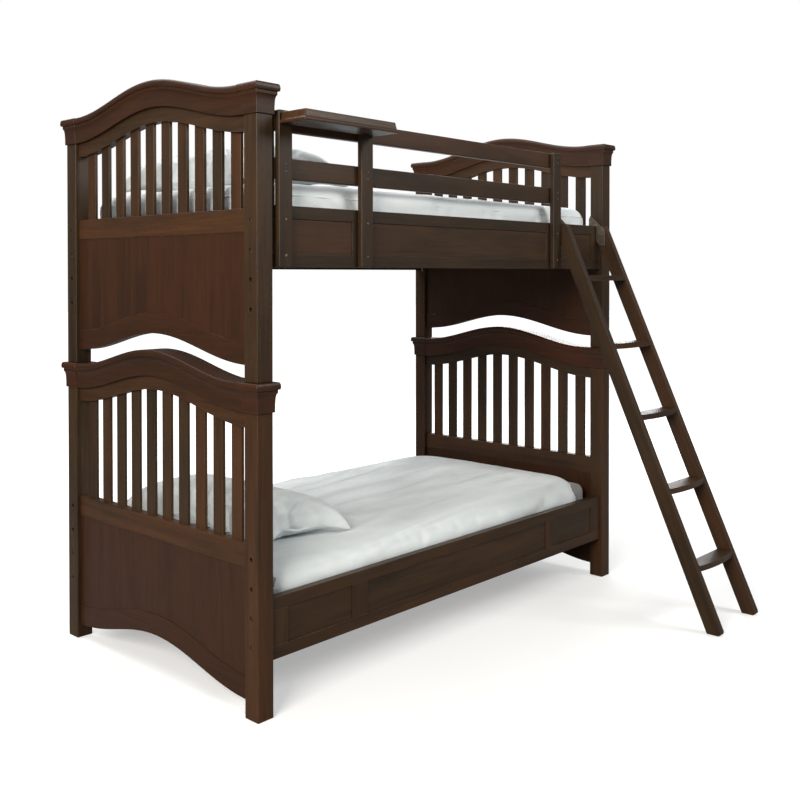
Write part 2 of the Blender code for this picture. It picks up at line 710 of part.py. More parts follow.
clear_scene()
PARTS = new_collection("bunk_bed_with_ladder")
CUTTERS = new_collection("cutters")
WOOD = make_material("dark_cherry_wood", (0.060, 0.026, 0.017), 0.38)
PALE_WOOD = make_material("plain_hardwood", (0.42, 0.27, 0.15), 0.65)
STEEL = make_material("black_steel", (0.045, 0.043, 0.042), 0.45, 0.9)
LINEN = make_material("white_linen", (0.72, 0.74, 0.75), 0.70)

lower_tier, upper_tier = TIERS
lower_pieces = bed(lower_tier)
lower_pieces += [stacking_pin(end, side) for end in ENDS for side in SIDES]
upper_pieces = bed(upper_tier) + front_guard() + [tray()]
group("lower_bunk", lower_pieces, (0.0, BED_Y, 0.0))
upper_lift = group("upper_bunk_lift", upper_pieces, (0.0, BED_Y, UPPER_BASE))
ladder_x = HEAD_X + STRINGER_LEFT + LADDER_WIDTH / 2
ladder_lift = group("ladder_lift", ladder(), (ladder_x, FRONT_Y, 0.0))
ladder_lift.parent = upper_lift
ladder_lift.matrix_parent_inverse = upper_lift.matrix_world.inverted()
for bed_tier in TIERS:
    deck_top = rail_low(bed_tier) + DECK_HEIGHT
    group(f"{bed_tier.name}_mattress_lift", [mattress(bed_tier)], (0.0, BED_Y, deck_top))
    group(f"{bed_tier.name}_pillow_lift", [pillow(bed_tier)], (0.0, BED_Y, deck_top + MATTRESS[2]))
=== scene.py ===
"""The looks of the bunk bed with its ladder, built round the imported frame.

Most places come from the CAD node that a piece stands for. Wood is built board by board, so that
each board has its own grain. The mattress covers and the pillows are made by cloth simulation.
"""
import random
from math import asin, atan, cos, degrees, exp, hypot, pi, radians, sin

import bmesh
import bpy
from mathutils import Euler, Matrix, Vector, noise


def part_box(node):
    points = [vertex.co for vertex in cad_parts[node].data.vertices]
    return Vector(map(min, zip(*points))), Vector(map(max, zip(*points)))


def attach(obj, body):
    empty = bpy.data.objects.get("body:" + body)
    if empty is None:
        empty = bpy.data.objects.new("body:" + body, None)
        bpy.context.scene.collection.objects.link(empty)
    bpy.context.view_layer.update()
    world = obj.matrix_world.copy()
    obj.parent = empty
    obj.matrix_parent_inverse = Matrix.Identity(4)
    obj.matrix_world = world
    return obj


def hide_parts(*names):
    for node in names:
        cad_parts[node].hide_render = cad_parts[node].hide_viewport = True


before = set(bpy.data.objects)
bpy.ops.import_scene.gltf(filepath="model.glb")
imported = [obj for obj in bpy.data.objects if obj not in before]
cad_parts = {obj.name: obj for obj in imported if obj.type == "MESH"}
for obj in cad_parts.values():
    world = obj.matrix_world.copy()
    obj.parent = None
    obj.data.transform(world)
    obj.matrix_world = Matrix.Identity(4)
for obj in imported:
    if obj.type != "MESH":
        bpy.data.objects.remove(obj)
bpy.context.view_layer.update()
RANDOM = random.Random(5)

TIERS = ("lower", "upper")
ENDS = (("head", -1), ("foot", 1))
SIDES = (("front", -1), ("back", 1))
CORNERS = ((1, 1, 0), (-1, 1, 90), (-1, -1, 180), (1, -1, 270))
X, Y, Z = Vector((1, 0, 0)), Vector((0, 1, 0)), Vector((0, 0, 1))
SHARP = radians(32)
CREASE = radians(50)

# ---- sizes that the boxes don't give

ARCH_RISE = 0.0775
CROWN_TOP_RISE = 0.0745
CROWN_TOP_HALF_SPAN = 0.455
ARCH_STEPS = 72
TOP_RAIL_HEIGHT = 0.0475
CROWN_LAP = 0.002
MID_RAIL_HEIGHT = 0.072
FOOT_RAIL_HEIGHT = 0.070
SLAT_COUNT = 10
SLAT_WIDTH, SLAT_THICK = 0.048, 0.012
SLAT_TENON = 0.015
BOLT_HEIGHTS = (0.220, 0.310, 0.398, 0.488)
BOLT_RADIUS, BORE_DEPTH = 0.0074, 0.0098
PANEL_MARGIN = 0.040
END_STILE, MID_STILE = 0.0715, 0.0725
SHORT_RECESS = 0.2865
RECESS_DEPTH = 0.004
DECK_SLATS, DECK_SLAT_WIDTH = 13, 0.070
STRAP_Y = 0.30
STRAP_WIDTH, STRAP_THICK = 0.030, 0.002
# The lower and upper edge of each long guard board.
GUARD_BOARDS = ((1.641, 1.706), (1.787, 1.849))
TRAY_WALL = 0.010
LADDER_SLOPE = 0.4327
LADDER_FRONT_REACH = 0.702
LADDER_BACK_REACH = 0.642
SHOE_RADIUS = 0.012
NOSE_RADIUS = 0.026
TREAD_BOW = 0.014
TREADS = 5
CURVE_STEPS = 8

# How far the sharp edges of each kind of board are eased.
POST_EASE = 0.003
HOLE_EASE = 0.0008
RAIL_EASE = 0.0018
SLAT_EASE = 0.0015
FOOT_RAIL_EASE = 0.0020
PANEL_EASE = 0.0012
STILE_EASE = 0.0008
DECK_EASE = 0.002
GUARD_EASE = 0.004
STRIP_EASE = 0.001
STRINGER_EASE = 0.003
TREAD_EASE = 0.005

FRONT_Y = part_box("lower_head_front_post")[0].y
BACK_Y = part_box("lower_head_back_post")[1].y
BED_Y = (FRONT_Y + BACK_Y) / 2
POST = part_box("lower_head_front_post")[1].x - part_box("lower_head_front_post")[0].x
HALF_OPENING = (BACK_Y - FRONT_Y) / 2 - POST


# ---- camera, light and floor

CAMERA_PLACE = (-2.9539, -2.4719, 1.3487)
CAMERA_TURN_DEG = (89.281, 0.063, -46.25)
CAMERA_LENS, CAMERA_SENSOR = 44.66, 36.0
CAMERA_SHIFT = (0.05, -0.1416)
SKY_COLOUR = (0.97, 0.985, 1.0)
SKY_STRENGTH = 0.22
FLOOR_SIZE, FLOOR_GAP = 30.0, 0.0005
GLOW_NEAR, GLOW_FAR = 1.6, 5.5
GLOW_LEAST, GLOW_MOST = 0.37, 1.0
WHITE = (1.0, 1.0, 1.0)
# The name, place, target, width, height, watts and colour of each softbox.
SOFTBOXES = (
    ("overhead", (-0.8, 1.9, 4.6), (0.1, 0.4, 0.6), 4.2, 3.4, 190.0, WHITE),
    ("head_side", (-5.3, -1.8, 3.0), (-0.4, 0.3, 1.2), 2.6, 2.2, 360.0, (1.0, 0.955, 0.87)),
    ("front_key", (2.2, -4.5, 4.0), (0.4, 0.2, 0.7), 2.6, 2.0, 175.0, (1.0, 1.0, 0.98)),
    ("foot_side", (5.2, 2.6, 3.0), (0.6, 0.3, 1.0), 2.6, 2.2, 130.0, WHITE),
)


def linked(name, data):
    obj = bpy.data.objects.new(name, data)
    bpy.context.scene.collection.objects.link(obj)
    return obj


def to_object(bm, name):
    mesh = bpy.data.meshes.new(name)
    bm.to_mesh(mesh)
    bm.free()
    return linked(name, mesh)


def camera():
    """Stands off the head end's front corner, level with the upper bed."""
    data = bpy.data.cameras.new("camera")
    data.sensor_width = CAMERA_SENSOR
    data.lens = CAMERA_LENS
    data.shift_x, data.shift_y = CAMERA_SHIFT
    obj = linked("camera", data)
    obj.location = CAMERA_PLACE
    obj.rotation_euler = Euler([radians(angle) for angle in CAMERA_TURN_DEG])
    bpy.context.scene.camera = obj


def softbox(name, place, target, width, height, watts, colour):
    data = bpy.data.lights.new(name, "AREA")
    data.shape = "RECTANGLE"
    data.size = width
    data.size_y = height
    data.energy = watts
    data.color = colour
    obj = linked(name, data)
    obj.location = place
    obj.rotation_euler = (Vector(target) - Vector(place)).to_track_quat("-Z", "Y").to_euler()


def floor_paint():
    """White with a faint glow that grows with distance; duller for the light it throws back."""
    net = Net("white_floor")
    far = net.vectors("LENGTH", net.place())
    glow = net.add("MapRange", Value=far.outputs["Value"], From_Min=GLOW_NEAR, From_Max=GLOW_FAR,
                   To_Min=GLOW_LEAST, To_Max=GLOW_MOST)
    net.set(Base_Color=(0.68, 0.68, 0.68), Roughness=0.9, Specular_IOR_Level=0.1,
            Emission_Color=WHITE, Emission_Strength=glow.outputs[0])
    dull = net.add("BsdfDiffuse", Color=(0.28, 0.27, 0.26, 1.0))
    net.split(net.shader, dull, "Material Output")
    return net.made


def studio():
    """A white floor under an even, dim sky, with four large softboxes."""
    scene = bpy.context.scene
    scene.view_settings.view_transform = "Standard"
    net = Net("studio", "worlds")
    scene.world = net.made
    seen = net.add("Background", Color=(*WHITE, 1.0))
    lit = net.add("Background", Color=(*SKY_COLOUR, 1.0), Strength=SKY_STRENGTH)
    net.split(seen, lit, "World Output")

    bm = bmesh.new()
    bmesh.ops.create_grid(bm, x_segments=2, y_segments=2, size=FLOOR_SIZE)
    floor = to_object(bm, "floor")
    floor.location.z = -FLOOR_GAP
    floor.data.materials.append(floor_paint())

    for box in SOFTBOXES:
        softbox(*box)


# ---- materials

class Net:
    """A material's or world's node tree, with a short way to add a node and wire it."""

    def __init__(self, name, kind="materials"):
        self.made = getattr(bpy.data, kind).new(name)
        self.made.use_nodes = True
        self.tree = self.made.node_tree
        self.shader = self.tree.nodes.get("Principled BSDF")

    def add(self, kind, **inputs):
        node = self.tree.nodes.new("ShaderNode" + kind)
        for key, value in inputs.items():
            self.put(node.inputs[key.replace("_", " ")], value)
        return node

    def put(self, socket, value):
        if isinstance(value, bpy.types.NodeSocket):
            self.tree.links.new(value, socket)
        else:
            socket.default_value = value

    def attribute(self, name):
        node = self.tree.nodes.new("ShaderNodeAttribute")
        node.attribute_name = name
        return node

    def place(self):
        return self.add("TexCoord").outputs["Object"]

    def vectors(self, operation, *values):
        node = self.tree.nodes.new("ShaderNodeVectorMath")
        node.operation = operation
        for socket, value in zip(node.inputs, values):
            self.put(socket, value)
        return node

    def noise(self, vector, scale, detail, roughness, distortion=0.0):
        scaled = self.vectors("MULTIPLY", vector, scale).outputs[0]
        node = self.add("TexNoise", Vector=scaled, Scale=1.0, Detail=detail,
                        Roughness=roughness, Distortion=distortion)
        return node.outputs["Fac"]

    def ribs(self, vector, scale, distortion, direction):
        node = self.add("TexWave", Vector=vector, Scale=scale, Distortion=distortion, Detail=1.0)
        node.bands_direction = direction
        return node.outputs["Fac"]

    def ramp(self, factor, *stops):
        node = self.tree.nodes.new("ShaderNodeValToRGB")
        self.put(node.inputs[0], factor)
        ramp = node.color_ramp
        while len(ramp.elements) < len(stops):
            ramp.elements.new(1.0)
        for element, (place, colour) in zip(ramp.elements, stops):
            element.position = place
            level = colour if isinstance(colour, tuple) else (colour, colour, colour)
            element.color = (*level, 1.0)
        return node.outputs[0]

    def mix(self, factor, first, second, blend="MIX"):
        node = self.tree.nodes.new("ShaderNodeMix")
        node.data_type = "RGBA"
        node.blend_type = blend
        self.put(node.inputs[0], factor)
        for socket, value in ((node.inputs[6], first), (node.inputs[7], second)):
            if isinstance(value, tuple):
                value = (*value, 1.0)
            self.put(socket, value)
        return node.outputs[2]

    def maths(self, operation, first, second=0.0):
        node = self.tree.nodes.new("ShaderNodeMath")
        node.operation = operation
        self.put(node.inputs[0], first)
        self.put(node.inputs[1], second)
        return node.outputs[0]

    def span(self, value, low, high):
        node = self.add("MapRange", Value=value, To_Min=low, To_Max=high)
        return node.outputs[0]

    def bump(self, height, strength, distance, normal=None):
        node = self.add("Bump", Height=height, Strength=strength, Distance=distance)
        if normal is not None:
            self.put(node.inputs["Normal"], normal)
        return node.outputs[0]

    def split(self, seen, thrown, output):
        """Shows the shader seen to the camera, while thrown lights everything else."""
        pick = self.add("MixShader", Fac=self.add("LightPath").outputs["Is Camera Ray"])
        self.put(pick.inputs[1], thrown.outputs[0])
        self.put(pick.inputs[2], seen.outputs[0])
        self.put(self.tree.nodes[output].inputs["Surface"], pick.outputs[0])

    def set(self, **inputs):
        for key, value in inputs.items():
            if isinstance(value, tuple) and len(value) == 3:
                value = (*value, 1.0)
            self.put(self.shader.inputs[key.replace("_", " ")], value)


def wood(name, dark, middle, red, edge_wear_and_highlight, rough, coat):
    """Stained wood. Its coordinates run along the board's grain, then across it, in metres."""
    net = Net(name)
    grain = net.attribute("grain").outputs["Vector"]
    tone = net.attribute("tone").outputs["Fac"]
    bands = net.noise(grain, (0.9, 17.0, 17.0), 5.0, 0.62, 1.3)
    figure = net.noise(grain, (2.6, 5.5, 5.5), 3.0, 0.5, 0.5)
    lines = net.noise(grain, (7.0, 260.0, 260.0), 3.0, 0.6, 0.2)
    pores = net.noise(grain, (55.0, 1150.0, 1150.0), 1.0, 0.5)
    pore_mask = net.ramp(pores, (0.60, 0.0), (0.72, 1.0))
    colour = net.ramp(bands, (0.30, dark), (0.52, middle), (0.74, red))
    colour = net.mix(net.ramp(figure, (0.36, 0.0), (0.70, 0.62)), colour, red)
    colour = net.mix(1.0, colour, net.ramp(lines, (0.25, 0.70), (0.72, 1.16)), "MULTIPLY")
    shade = net.ramp(tone, (0.0, (0.80, 0.84, 0.88)), (0.5, WHITE), (1.0, (1.24, 0.98, 0.86)))
    colour = net.mix(1.0, colour, shade, "MULTIPLY")
    colour = net.mix(net.maths("MULTIPLY", pore_mask, 0.55), colour, dark)
    # Lighter eased edges: partly rubbed-through wear, partly a painted highlight along the edges.
    rounded = net.add("Bevel", Radius=0.0035)
    rounded.samples = 4
    facing = net.add("NewGeometry").outputs["Normal"]
    turn = net.vectors("DOT_PRODUCT", rounded.outputs[0], facing)
    edge = net.ramp(turn.outputs["Value"], (0.80, 1.0), (0.97, 0.0))
    rub_and_highlight = net.noise(grain, (9.0, 38.0, 38.0), 3.0, 0.6)
    rub_and_highlight = net.maths("MULTIPLY", edge, net.ramp(rub_and_highlight, (0.40, 0.0), (0.68, 0.75)))
    colour = net.mix(rub_and_highlight, colour, edge_wear_and_highlight)
    cloud = net.noise(grain, (11.0, 19.0, 19.0), 4.0, 0.6)
    level = net.span(cloud, rough - 0.07, rough + 0.09)
    level = net.maths("ADD", level, net.maths("MULTIPLY", pore_mask, 0.12))
    height = net.maths("SUBTRACT", net.maths("MULTIPLY", lines, 0.5), pore_mask)
    relief = net.bump(height, 0.35, 0.0003)
    wave = net.noise(grain, (3.0, 14.0, 14.0), 2.0, 0.5)
    net.set(Base_Color=colour, Roughness=level, Normal=net.bump(wave, 0.10, 0.004, relief),
            Coat_Weight=coat, Coat_Roughness=0.28, Specular_IOR_Level=0.24)
    return net.made


def cloth(name, colour, shade, thread, rough, sheen):
    """Smooth woven cotton: fine crossed threads, a slight sheen and broad streaks of painted
    shade.
    """
    net = Net(name)
    place = net.place()
    warp = net.ribs(place, 1.0 / thread, 0.6, "X")
    weft = net.ribs(place, 1.0 / thread, 0.6, "Y")
    weave = net.maths("MULTIPLY", warp, weft)
    slub = net.noise(place, (30.0, 4.0, 30.0), 3.0, 0.6)
    # Painted shade: broad streaks pull the colour towards the shade colour, standing in for the
    # shading of soft folds.
    painted_shade_streaks = net.noise(place, (1.3, 8.0, 8.0), 3.0, 0.55, 0.7)
    tint = net.mix(net.ramp(painted_shade_streaks, (0.40, 0.0), (0.64, 1.0)), colour, shade)
    tint = net.mix(1.0, tint, net.ramp(weave, (0.0, 0.93), (0.6, 1.0)), "MULTIPLY")
    tint = net.mix(1.0, tint, net.ramp(slub, (0.3, 0.965), (0.7, 1.0)), "MULTIPLY")
    crumple = net.noise(place, (9.0, 9.0, 9.0), 4.0, 0.55, 0.6)
    relief = net.bump(weave, 0.25, thread * 0.5)
    net.set(Base_Color=tint, Roughness=net.span(slub, rough - 0.05, rough + 0.07),
            Normal=net.bump(crumple, 0.22, 0.006, relief), Sheen_Weight=sheen,
            Sheen_Roughness=0.45, Specular_IOR_Level=0.35)
    return net.made


def ticking_cloth(name):
    """Grey mattress ticking with a small light check."""
    net = Net(name)
    place = net.place()
    check = net.add("TexChecker", Vector=place, Scale=120.0)
    fleck = net.noise(place, (500.0, 500.0, 500.0), 2.0, 0.6)
    tint = net.mix(check.outputs["Fac"], (0.075, 0.072, 0.070), (0.19, 0.185, 0.18))
    tint = net.mix(net.ramp(fleck, (0.45, 0.0), (0.62, 0.7)), tint, (0.30, 0.295, 0.285))
    net.set(Base_Color=tint, Roughness=net.span(fleck, 0.7, 0.9),
            Normal=net.bump(fleck, 0.4, 0.0008), Sheen_Weight=0.2)
    return net.made


def steel(name, colour, rough):
    """Blackened steel, a little rubbed, with fine tool marks."""
    net = Net(name)
    place = net.place()
    marks = net.noise(place, (900.0, 900.0, 160.0), 2.0, 0.5)
    cloud = net.noise(place, (60.0, 60.0, 60.0), 4.0, 0.6)
    lighter = tuple(2.6 * level for level in colour)
    tint = net.mix(net.ramp(cloud, (0.5, 0.0), (0.75, 0.6)), colour, lighter)
    net.set(Base_Color=tint, Metallic=0.9, Roughness=net.span(cloud, rough - 0.1, rough + 0.12),
            Normal=net.bump(marks, 0.2, 0.0002))
    return net.made


def webbing(name):
    """Pale strap with a coarse twill rib."""
    net = Net(name)
    place = net.place()
    rib = net.ribs(place, 160.0, 0.4, "DIAGONAL")
    tint = net.mix(rib, (0.42, 0.39, 0.33), (0.60, 0.57, 0.50))
    net.set(Base_Color=tint, Roughness=net.span(rib, 0.75, 0.9),
            Normal=net.bump(rib, 0.5, 0.0006))
    return net.made


# ---- boards

class Boards:
    """Boards gathered into one mesh, each with its own grain direction and tone."""

    def __init__(self):
        self.points = []
        self.faces = []
        self.grain = []
        self.tone = []

    def add(self, bm, along, ease=0.0, segments=3, tone=None):
        """Eases the sharp edges of bm, stores its grain coordinates and takes it in."""
        if ease:
            ease_edges(bm, sharp_edges(bm), ease, segments, True)
        bmesh.ops.recalc_face_normals(bm, faces=bm.faces)
        side = along.orthogonal().normalized()
        other = along.cross(side)
        shift = Vector([RANDOM.uniform(-30.0, 30.0) for _ in range(3)])
        drawn = RANDOM.random()
        tone = drawn if tone is None else tone
        first = len(self.points)
        bm.verts.ensure_lookup_table()
        for vert in bm.verts:
            spot = vert.co
            self.points.append(spot.copy())
            self.grain.extend(Vector((spot.dot(along), spot.dot(side), spot.dot(other))) + shift)
            self.tone.append(tone)
        for face in bm.faces:
            self.faces.append([first + vert.index for vert in face.verts])
        bm.free()
        return self

    def piece(self, name, material, body, slot, *nodes):
        mesh = bpy.data.meshes.new(name)
        mesh.from_pydata(self.points, [], self.faces)
        grain = mesh.attributes.new("grain", "FLOAT_VECTOR", "POINT")
        grain.data.foreach_set("vector", self.grain)
        tone = mesh.attributes.new("tone", "FLOAT", "POINT")
        tone.data.foreach_set("value", self.tone)
        obj = linked(name, mesh)
        painted(obj, material, CREASE)
        weighted = obj.modifiers.new("flat_faces_stay_flat", "WEIGHTED_NORMAL")
        weighted.keep_sharp = True
        settle(obj, body, slot, *nodes)


def sharp_edges(bm, angle=SHARP):
    return [edge for edge in bm.edges if edge.calc_face_angle(0.0) > angle]


def ease_edges(bm, edges, offset, segments, clamp=False):
    bmesh.ops.bevel(bm, geom=edges, offset=offset, segments=segments, profile=0.5, affect="EDGES",
                    clamp_overlap=clamp)


def settle(obj, body, slot, *nodes):
    """Rides obj on its body and hides the CAD nodes that it stands for; slot is not used."""
    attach(obj, body)
    if nodes:
        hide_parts(*nodes)


def bevelled(obj, width):
    bevel = obj.modifiers.new("soft_edges", "BEVEL")
    bevel.width = width
    bevel.segments = 2


def painted(obj, material, crease=None):
    """Smooth shading, with sharp edges past the crease angle if one is given."""
    obj.data.shade_smooth()
    if crease:
        obj.data.set_sharp_from_angle(angle=crease)
    obj.data.materials.append(material)


def stained(boards, node, body, material):
    """Finishes boards as the stained wood of one CAD node."""
    boards.piece(f"{node}_wood", material, body, "dark_wood", node)


def block(low, high, bm=None):
    """A cuboid between two opposite corners, in bm or by itself."""
    size = Vector(high) - Vector(low)
    place = Matrix.Translation((Vector(high) + Vector(low)) / 2) @ Matrix.Diagonal((*size, 1.0))
    bm = bm or bmesh.new()
    bmesh.ops.create_cube(bm, size=1.0, matrix=place)
    return bm


def strip(low_edge, high_edge, x0, x1, y0, y1, steps=ARCH_STEPS):
    """A board across the bed whose edges follow two functions of y."""
    rings = []
    for i in range(steps + 1):
        y = y0 + (y1 - y0) * i / steps
        low, high = low_edge(y), high_edge(y)
        rings.append(((x0, y, low), (x1, y, low), (x1, y, high), (x0, y, high)))
    return lofted(rings)


def lofted(rings, bm=None):
    """Joins successive rings of points with faces and caps both ends, in bm or by itself."""
    bm = bm or bmesh.new()
    rings = [[bm.verts.new(point) for point in ring] for ring in rings]
    for near, far in zip(rings, rings[1:]):
        for i in range(len(near)):
            j = (i + 1) % len(near)
            bm.faces.new((near[i], near[j], far[j], far[i]))
    bm.faces.new(rings[0][::-1])
    bm.faces.new(rings[-1])
    return bm


def slab(outline, low, high, place):
    """An outline of (u, v) points given thickness; place turns (u, v, w) into a point."""
    return lofted([[place(u, v, w) for u, v in outline] for w in (low, high)])


def arc(centre, radius, start_deg, end_deg, steps):
    """Points on a circle, anticlockwise from one angle to another."""
    points = []
    for i in range(steps + 1):
        angle = radians(start_deg + (end_deg - start_deg) * i / steps)
        points.append((centre[0] + radius * cos(angle), centre[1] + radius * sin(angle)))
    return points


def arch(y, rise=ARCH_RISE, half_span=HALF_OPENING):
    """Height of the bed ends' arch at y: one wave, level at both ends."""
    reach = min(abs(y - BED_Y) / half_span, 1.0)
    return rise * (1 + cos(pi * reach)) / 2


# ---- bed ends

DRILL_SIDES = 28
RIM_ANGLE = radians(70)
RIM_REACH = 0.0002


def drill(bm, spots, radius, depth):
    """Cuts round holes that run along X into bm, each centred on a spot."""
    target = to_object(bm, "drilled")
    tools = bmesh.new()
    for x, y, z in spots:
        middle = Matrix.Translation((x, y, z)) @ Matrix.Rotation(pi / 2, 4, "Y")
        bmesh.ops.create_cone(tools, cap_ends=True, segments=DRILL_SIDES, radius1=radius,
                              radius2=radius, depth=2 * depth, matrix=middle)
    cutter = to_object(tools, "drill")
    boolean = target.modifiers.new("holes", "BOOLEAN")
    boolean.operation = "DIFFERENCE"
    boolean.solver = "EXACT"
    boolean.object = cutter
    bpy.context.view_layer.update()
    solid = target.evaluated_get(bpy.context.evaluated_depsgraph_get())
    cut = bmesh.new()
    mesh = bpy.data.meshes.new_from_object(solid)
    cut.from_mesh(mesh)
    for obj in (target, cutter):
        bpy.data.objects.remove(obj)
    bpy.data.meshes.remove(mesh)
    return cut


def post(tier, end, side):
    """A square post with a column of round bolt holes in its outer face."""
    node = f"{tier}_{end[0]}_{side[0]}_post"
    low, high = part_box(node)
    outer = high.x if end[1] > 0 else low.x
    y = (low.y + high.y) / 2
    bm = block(low, high)
    ease_edges(bm, sharp_edges(bm), POST_EASE, 3)
    spots = [(outer, y, low.z + height) for height in BOLT_HEIGHTS]
    bm = drill(bm, spots, BOLT_RADIUS, BORE_DEPTH)
    rims = [edge for edge in sharp_edges(bm, RIM_ANGLE)
            if all(abs(vert.co.x - outer) < RIM_REACH for vert in edge.verts)]
    ease_edges(bm, rims, HOLE_EASE, 2)
    stained(Boards().add(bm, Z), node, f"{tier}_bunk", DARK_WOOD)


# The crown's profile: overhang past the post's face, and height above its top.
CROWN_BAND = ((0.0044, 0.0), (0.0050, 0.0010), (0.0052, 0.0270))
COVE_START = (0.0056, 0.0290)
COVE_SIZE = (0.0054, 0.0290)
CROWN_FILLET = ((0.0113, 0.0590), (0.0115, 0.0685), (0.0120, 0.0698))
NOSE_MIDDLE = (0.0128, 0.0786)
NOSE_SIZE = (0.0052, 0.0132)
NOSE_START_DEG, NOSE_SWEEP_DEG = -42, 132
CROWN_INSET, CROWN_GAP = 0.003, 0.0006
CAP_CORNER = 0.0022


def crown_profile():
    """From the bottom up: band, cove, fillet and nose."""
    points = list(CROWN_BAND)
    for i in range(CURVE_STEPS + 1):
        angle = pi / 2 * i / CURVE_STEPS
        points.append((COVE_START[0] + COVE_SIZE[0] * (1 - cos(angle)),
                       COVE_START[1] + COVE_SIZE[1] * sin(angle)))
    points += CROWN_FILLET
    for i in range(CURVE_STEPS + 1):
        angle = radians(NOSE_START_DEG + NOSE_SWEEP_DEG * i / CURVE_STEPS)
        points.append((NOSE_MIDDLE[0] + NOSE_SIZE[0] * cos(angle),
                       NOSE_MIDDLE[1] + NOSE_SIZE[1] * sin(angle)))
    return points


def crown(tier, end):
    """The swept moulding and the two square cap blocks with the same profile."""
    node = f"{tier}_{end[0]}_crown"
    low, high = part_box(node)
    x = (low.x + high.x) / 2
    base = low.z
    profile = crown_profile()
    tall = profile[-1][1]
    boards = Boards()
    outline = [(POST / 2 + over - CROWN_INSET, height) for over, height in profile]
    outline += [(-half, height) for half, height in reversed(outline)]
    rings = []
    reach = (BACK_Y - FRONT_Y - POST) / 2
    for i in range(ARCH_STEPS + 1):
        y = BED_Y - reach + 2 * reach * i / ARCH_STEPS
        ring = []
        for offset, height in outline:
            level = height / tall
            rise = ARCH_RISE + (CROWN_TOP_RISE - ARCH_RISE) * level
            half_span = HALF_OPENING + (CROWN_TOP_HALF_SPAN - HALF_OPENING) * level
            lift = CROWN_GAP + height * (tall - 2 * CROWN_GAP) / tall
            ring.append((x + offset, y, base + lift + arch(y, rise, half_span)))
        rings.append(ring)
    boards.add(lofted(rings), Y)
    for _, side in SIDES:
        y = BED_Y + side * reach
        rings = []
        for over, height in profile:
            half = POST / 2 + over
            ring = []
            for cx, cy, start in CORNERS:
                middle = (cx * (half - CAP_CORNER), cy * (half - CAP_CORNER))
                ring += arc(middle, CAP_CORNER, start, start + 90, 3)
            rings.append([(x + u, y + v, base + height) for u, v in ring])
        boards.add(lofted(rings), Y)
    stained(boards, node, f"{tier}_bunk", RED_WOOD)


MID_RAIL_TONE = 1.0
FOOT_RAIL_TONE = 0.35
PANEL_TONE = 0.5


def slat_frame(tier, end):
    """An arched top rail and a straight mid rail, joined by ten upright slats."""
    node = f"{tier}_{end[0]}_slat_frame"
    low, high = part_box(node)
    top = high.z - ARCH_RISE
    mid_high = low.z + MID_RAIL_HEIGHT
    x = (low.x + high.x) / 2
    boards = Boards()
    boards.add(block(low, (high.x, high.y, mid_high)), Y, RAIL_EASE, tone=MID_RAIL_TONE)
    rail = strip(lambda y: top - TOP_RAIL_HEIGHT + arch(y), lambda y: top + CROWN_LAP + arch(y),
                 low.x, high.x, low.y, high.y)
    boards.add(rail, Y, RAIL_EASE)
    space = (2 * HALF_OPENING - SLAT_COUNT * SLAT_WIDTH) / (SLAT_COUNT + 1)
    for i in range(SLAT_COUNT):
        y = BED_Y - HALF_OPENING + space + SLAT_WIDTH / 2 + i * (SLAT_WIDTH + space)
        crest = top - TOP_RAIL_HEIGHT + arch(y) + SLAT_TENON
        slat = block((x - SLAT_THICK / 2, y - SLAT_WIDTH / 2, mid_high - SLAT_TENON),
                     (x + SLAT_THICK / 2, y + SLAT_WIDTH / 2, crest))
        boards.add(slat, Z, SLAT_EASE, 2)
    stained(boards, node, f"{tier}_bunk", DARK_WOOD)


def arched_boards(tier, end):
    """The flat panel and the bottom rail, whose lower edges follow the arch."""
    node = f"{tier}_{end[0]}_foot_rail"
    low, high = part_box(node)
    rail = strip(lambda y: low.z + arch(y), lambda y: low.z + FOOT_RAIL_HEIGHT + arch(y),
                 low.x, high.x, low.y, high.y)
    rail = Boards().add(rail, Y, FOOT_RAIL_EASE, tone=FOOT_RAIL_TONE)
    stained(rail, node, f"{tier}_bunk", RED_WOOD)
    node = f"{tier}_{end[0]}_panel"
    low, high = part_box(node)
    panel = strip(lambda y: low.z + arch(y), lambda y: high.z, low.x, high.x, low.y, high.y)
    panel = Boards().add(panel, Z, PANEL_EASE, tone=PANEL_TONE)
    stained(panel, node, f"{tier}_bunk", RED_WOOD)


ROUND_STEPS = 24
ROUND_ANGLES = [2 * pi * i / ROUND_STEPS for i in range(ROUND_STEPS)]
BOLT_SUNK = 0.0022
BOLT_HEAD_RADIUS, BOLT_HEAD_LENGTH = 0.0069, 0.0060
# The share of the head's radius, and the height against its outer face.
BOLT_FACE = ((1.0, -0.0012), (0.93, -0.0004), (0.80, 0.0), (0.56, -0.0001))
SOCKET_SHARE = 0.5
SOCKET_HEIGHTS = (-0.0003, -0.0032)
SCREW_SKIRT = 0.001
SCREW_DOME, SCREW_DOME_STEPS = 0.0022, 4
SCREW_DOME_SHARE = 0.8
SCREW_RECESS = 0.0009
METAL_CREASE = radians(35)


def rail_bolts(tier):
    """Hex-socket bolt heads, sunk in the holes that hold the side rails."""
    rows = BOLT_HEIGHTS[:2] if tier == "lower" else BOLT_HEIGHTS[2:]
    bm = bmesh.new()
    for end in ENDS:
        for side in SIDES:
            low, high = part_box(f"{tier}_{end[0]}_{side[0]}_post")
            x = (high.x if end[1] > 0 else low.x) - end[1] * BOLT_SUNK
            for height in rows:
                face = Vector((x, (low.y + high.y) / 2, low.z + height))
                hex_bolt(bm, face, X * end[1], BOLT_HEAD_RADIUS, BOLT_HEAD_LENGTH)
    metal_piece(bm, f"{tier}_rail_bolts", f"{tier}_bunk")


def metal_piece(bm, name, body):
    """Makes bm a piece of blackened steel."""
    bmesh.ops.recalc_face_normals(bm, faces=bm.faces)
    obj = to_object(bm, name)
    painted(obj, BLACK_STEEL, METAL_CREASE)
    settle(obj, body, "black_steel")


